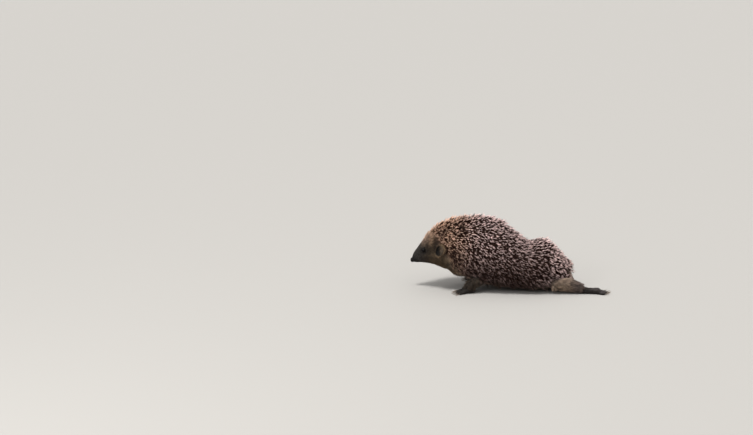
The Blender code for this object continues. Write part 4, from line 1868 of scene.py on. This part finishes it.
@dataclass
class FurCoat:
    """All the fur: short on the face and feet, long on the throat, skirt and rump."""

    skin: Skin
    patches: tuple[FurPatch, ...] = (
        FurPatch("fur_face", "face_fur", (Zone.HEAD,), 4.8, 0.19, 26, 9, 13, 0.55, 14, 3, halved=True),
        FurPatch("fur_ears", "ear_skin", (Zone.EAR,), 9.0, 0.15, 34, 22, 22, 0.35, 6, 3),
        FurPatch("fur_throat", "body_fur", (Zone.NECK,), 3.4, 0.28, 34, 14, 16, 0.72, 26, 4),
        FurPatch("fur_skirt", "body_fur", (Zone.TRUNK, Zone.TAIL, Zone.RUMP), 1.5, 0.33, 30, 10, 16, 0.68,
                 20, 4, halved=True),
        FurPatch("fur_legs", "leg_fur", (Zone.LEG,), 2.4, 0.24, 28, 9, 14, 0.6, 18, 3),
        FurPatch("fur_feet", "leg_fur", (Zone.FOOT,), 2.4, 0.13, 20, 7, 14, 0.0, 1, 3),
    )
    FIRST_SEED = 40

    def build(self) -> None:
        """Grows every patch."""
        material = HairFinish("guard_hair").material()
        for seed, patch in enumerate(self.patches, self.FIRST_SEED):
            patch.grow(self.skin, material, seed)


@dataclass
class Whiskers:
    """Stiff dark whiskers in rows on each side of the muzzle."""

    skin: Skin
    rows: int = 4
    each: int = 4
    thickness: float = 0.22
    stations: int = 8
    colour: str = "#2a2320"
    first_at: tuple[float, float] = (4.5, 6.4)  # behind the nose pad's middle and above it
    next_whisker: tuple[float, float] = (2.6, 0.9)  # back and up along a row
    next_row: tuple[float, float] = (0.6, -1.6)
    SEED = 77

    def build(self) -> None:
        """Finds where each whisker leaves the skin and draws it back in a shallow curve."""
        skin, random = self.skin, np.random.default_rng(self.SEED)
        surface = BVHTree.FromPolygons(
            [Vector(p) for p in skin.surface.points], [list(face.vertices) for face in skin.mesh.polygons]
        )
        nose, first, along, down = skin.marks.nose, self.first_at, self.next_whisker, self.next_row
        layer = skin.mesh.uv_layers[BAKE_MAP].data
        spots, normals, lengths, places = [], [], [], []
        for side in (-1, 1):
            for row in range(self.rows):
                for k in range(self.each):
                    back = first[0] + along[0] * k + down[0] * row + random.normal(0, 0.3)
                    up = first[1] + down[1] * row + along[1] * k + random.normal(0, 0.25)
                    x, z = nose.x + back * MM, nose.z + up * MM
                    start = Vector((x, side * 50 * MM, z))
                    hit, normal, face, _ = surface.ray_cast(start, Vector((0, -side, 0)))
                    if hit is None:
                        continue
                    spots.append(hit[:])
                    normals.append(normal[:])
                    loops = skin.mesh.polygons[face].loop_indices
                    places.append(np.mean([layer[i].uv[:] for i in loops], axis=0))
                    lengths.append((9 + 4.0 * k) * random.normal(1.0, 0.12))
        points, normals = np.array(spots), np.array(normals)
        count = len(points)
        lie = laid(np.tile([1.0, 0.0, 0.12], (count, 1)), normals)
        colour = np.tile(linear(self.colour)[:3], (count, 1))
        roots = Roots(points, normals, lie, colour, np.array(lengths), np.array(places))
        lines = bend(roots, roots.length, np.full(count, 42.0), np.full(count, 8.0),
                     random.normal(0, 7, count), np.linspace(0, 1, self.stations), 0.4)
        radii = np.outer(np.full(count, self.thickness / 2), np.linspace(1, 0, self.stations) ** 0.7) * MM
        strands = Strands("whiskers", "face_fur", lines, radii, roots, random.random(count), sides=4)
        finish = HairFinish("whisker_hair", root=1.0, tip=0.8, spread=0.2, roughness=0.35)
        strands.add(finish.material())


# --- eyes, nose pad and claws ----------------------------------------------------------------------


@dataclass
class Eyes:
    """Two smooth eyeballs, each with a cornea that stands a little off the globe."""

    marks: Landmarks
    ways: dict[str, np.ndarray]
    cornea: float = 0.18

    def build(self) -> None:
        """Makes each eye and stands it in for its node."""
        material = EyeFinish().material()
        for side, centre in self.marks.eyes.items():
            bm = bmesh.new()
            bmesh.ops.create_icosphere(bm, subdivisions=5, radius=self.marks.eye_radius)
            way = Vector(self.ways[side])
            edge = []
            for vert in bm.verts:
                facing = vert.co.normalized().dot(way)
                vert.co += vert.co.normalized() * self.cornea * MM * float(ramp(facing, 0.45, 0.95))
                edge.append(float(ramp(-facing, -0.95, -0.7)))
                vert.co += centre
            mesh = mesh_of(bm, "eye_globe_" + side)
            store(mesh, "edge", np.array(edge))
            piece = add_piece(mesh.name, mesh, material)
            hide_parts("eye_" + side)


@dataclass
class NosePad:
    """The rhinarium: a rounded pad with two comma-shaped nostrils and a furrow below."""

    marks: Landmarks
    tilt: float = 30.0
    nostril: float = 1.5  # deep, in mm
    furrow: float = 0.35
    NOSTRIL_AT = (-0.80, 0.56, 0.10)  # the way from the pad's middle: ahead, out and up

    def build(self) -> None:
        """Makes the pad and stands it in for its node."""
        low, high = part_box("nose")
        half = np.array((high - low) / 2)
        bm = bmesh.new()
        bmesh.ops.create_icosphere(bm, subdivisions=6, radius=1.0)
        ways = unit(np.array([vert.co[:] for vert in bm.verts]))
        ahead, out, up = ramp(-ways[:, 0], -0.1, 0.25), np.abs(ways[:, 1]), ways[:, 2]
        folded = np.stack([ways[:, 0], out, up], 1)
        toward = folded - unit(np.array(self.NOSTRIL_AT))
        # The opening is a little taller than wide, and a slit runs out and back from its upper corner.
        hole = np.exp(-((toward[:, 1] / 0.19) ** 2 + (toward[:, 2] / 0.22) ** 2) ** 1.6)
        slit = bell(up - 0.20 - 0.25 * (out - 0.6), 0.0, 0.075)
        slit = slit * ramp(out, 0.55, 0.72) * (1 - ramp(out, 0.9, 1.0))
        wing = bell(np.hypot(toward[:, 1], toward[:, 2]), 0.33, 0.10) * ahead
        split = bell(ways[:, 1], 0.0, 0.07) * ramp(-up, -0.5, -0.1)
        relief = 0.25 * wing - self.nostril * hole - 0.45 * slit - self.furrow * split
        reach = 1 + relief * ahead / (half.mean() / MM)
        places = ways * half * reach[:, None]
        places[:, 0] = np.where(places[:, 0] < 0, places[:, 0] * (1 - 0.12 * np.abs(up)), places[:, 0])
        tilt = np.array(Matrix.Rotation(math.radians(self.tilt), 3, "Y"))
        places = places @ tilt.T + np.array(self.marks.nose)
        for vert, place in zip(bm.verts, places):
            vert.co = place
        mesh = mesh_of(bm, "nose_rhinarium")
        piece = add_piece(mesh.name, mesh, NoseFinish().material())
        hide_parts("nose")


@dataclass
class Claws:
    """Twenty claws of horn, one for each toe, slightly flattened and drawn to a blunt point."""

    marks: Landmarks
    rings: int = 14
    sides: int = 16
    flatness: float = 0.86  # of its breadth against its height
    narrowing: float = 0.78  # the share of its girth that is gone at the point

    def build(self) -> None:
        """Makes a fine claw along the line of each claw node and stands it in for that node."""
        material = ClawFinish().material()
        for name in sorted(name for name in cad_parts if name.startswith("claw_")):
            self.claw(name, material)

    def claw(self, name: str, material: Material) -> None:
        """Makes one claw.

        Args:
            name: the node it stands for.
            material: horn.
        """
        points = np.unique(read(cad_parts[name].data.vertices, "co", 3).round(6), axis=0)
        middle = points.mean(0)
        axis = np.linalg.svd(points - middle)[2][0]
        axis *= np.sign(axis @ (middle - np.array(self.marks.toes[name][0])))
        lengthwise = (points - middle) @ axis
        level = unit(np.cross(axis, [0.0, 0.0, 1.0]))
        radius = np.ptp(points[lengthwise < lengthwise.min() + 1.5 * MM] @ level) / 2
        share = np.linspace(0, 1, self.rings)[:, None]
        curve = np.polynomial.polynomial.polyfit(lengthwise, points, 2)
        place = lengthwise.min() + share * np.ptp(lengthwise)
        path = curve[0] + curve[1] * place + curve[2] * place**2
        heading = unit(np.gradient(path, axis=0))
        across = unit(np.cross(heading, [0.0, 0.0, 1.0]))
        over = np.cross(across, heading)
        turn = np.arange(self.sides) * 2 * np.pi / self.sides
        girth = radius * (1 - self.narrowing * share[:, 0] ** 1.6)
        wide = self.flatness * np.cos(turn)[:, None] * girth[:, None, None]
        high = np.sin(turn)[:, None] * girth[:, None, None]
        shell = path[:, None] + across[:, None] * wide + over[:, None] * high
        shell[:, :, 2] = np.maximum(shell[:, :, 2], 0.25 * MM)
        bm = bmesh.new()
        rows = [[bm.verts.new(point) for point in row] for row in shell]
        for row, wider in zip(rows, rows[1:]):
            for j in range(self.sides):
                after = (j + 1) % self.sides
                bm.faces.new((row[j], row[after], wider[after], wider[j]))
        point = bm.verts.new(path[-1] + heading[-1] * girth[-1] * 0.7)
        for j in range(self.sides):
            bm.faces.new((rows[-1][j], rows[-1][(j + 1) % self.sides], point))
        bm.faces.new(rows[0][::-1])
        bmesh.ops.recalc_face_normals(bm, faces=bm.faces)
        mesh = mesh_of(bm, name.replace("claw", "horn"))
        store(mesh, "along", np.append(np.repeat(share[:, 0], self.sides), 1.0))
        piece = add_piece(mesh.name, mesh, material)
        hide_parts(name)


# --- camera, light and floor -----------------------------------------------------------------------


@dataclass
class Studio:
    """A long lens a little above the animal, an overcast dome with a veiled sun, and a pale floor."""

    marks: Landmarks
    lens: float = 100.0
    above: float = 14.0  # degrees the camera looks down
    distance: float = 3.233  # metres
    aim_ahead: float = 0.0526  # metres ahead of the nose tip
    aim_height: float = 0.1108
    sun: float = 2.9
    horizon: float = 0.3
    zenith: float = 1.0
    SUN_AT = (-0.3, -0.38, 1.35)
    GLINT_AT = (-0.9, -1.0, 0.75)

    def build(self) -> None:
        """Sets up the camera, the lights, the world and the floor."""
        self.camera()
        self.lights()
        self.floor()

    def camera(self) -> None:
        """Looks square on to the left side from a little above."""
        data = bpy.data.cameras.new("camera")
        data.lens, data.sensor_width = self.lens, 36.0
        data.clip_start, data.clip_end = 0.1, 50.0
        camera = bpy.data.objects.new("camera", data)
        tilt = math.radians(self.above)
        back = Vector((0, -math.cos(tilt), math.sin(tilt)))
        camera.location = Vector((self.marks.tip - self.aim_ahead, 0, self.aim_height)) + back * self.distance
        camera.rotation_euler = (-back).to_track_quat("-Z", "Y").to_euler()
        bpy.context.scene.collection.objects.link(camera)
        bpy.context.scene.camera = camera

    def lights(self) -> None:
        """A soft sun high on the left, a small lamp for the eyes' glint, and a dome brightest overhead."""
        sun = bpy.data.lights.new("sun", "SUN")
        sun.energy, sun.angle = self.sun, math.radians(16)
        lamp = bpy.data.lights.new("glint", "AREA")
        lamp.shape, lamp.size, lamp.energy = "DISK", 0.35, 3.0
        for data, place in ((sun, self.SUN_AT), (lamp, self.GLINT_AT)):
            light = bpy.data.objects.new(data.name, data)
            light.location = place
            light.rotation_euler = Vector(place).to_track_quat("Z", "Y").to_euler()
            light.visible_camera = False
            bpy.context.scene.collection.objects.link(light)
        world = bpy.data.worlds.new("dome")
        world.use_nodes = True
        tree = world.node_tree
        tree.nodes.clear()
        way = node(tree, "SeparateXYZ", {0: node(tree, "TexCoord").outputs["Generated"]})
        grey = [(level, level, level * 1.01, 1.0) for level in (self.horizon, self.zenith)]
        dome = node(tree, "ValToRGB", {"Fac": way.outputs["Z"]}, stops=[(0.05, grey[0]), (0.85, grey[1])])
        background = node(tree, "Background", {"Color": dome.outputs[0]})
        node(tree, "OutputWorld", {"Surface": background.outputs[0]})
        bpy.context.scene.world = world
        bpy.context.scene.view_settings.view_transform = "Standard"

    def floor(self) -> None:
        """A broad disc at floor level."""
        bm = bmesh.new()
        bmesh.ops.create_circle(bm, cap_ends=True, segments=128, radius=9.0)
        mesh = mesh_of(bm, "floor")
        floor = bpy.data.objects.new("floor", mesh)
        mesh.materials.append(FloorFinish().material())
        bpy.context.scene.collection.objects.link(floor)


# --- assembly --------------------------------------------------------------------------------------


def main() -> None:
    """Builds the hedgehog from the skin out, and the studio round it."""
    logging.basicConfig(level=logging.INFO, format="%(message)s")
    started = time.perf_counter()
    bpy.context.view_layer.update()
    marks = Landmarks.from_frame()
    Studio(marks).build()
    skin = Skin(marks, Markings(marks))
    skin.build()
    skin.dress()
    log.info("skin done at %.0f s", time.perf_counter() - started)
    Eyes(marks, skin.eye_ways).build()
    NosePad(marks).build()
    Claws(marks).build()
    Whiskers(skin).build()
    SpineCoat(skin).build()
    FurCoat(skin).build()
    log.info("coat done at %.0f s", time.perf_counter() - started)


if __name__ == "__main__":
    main()
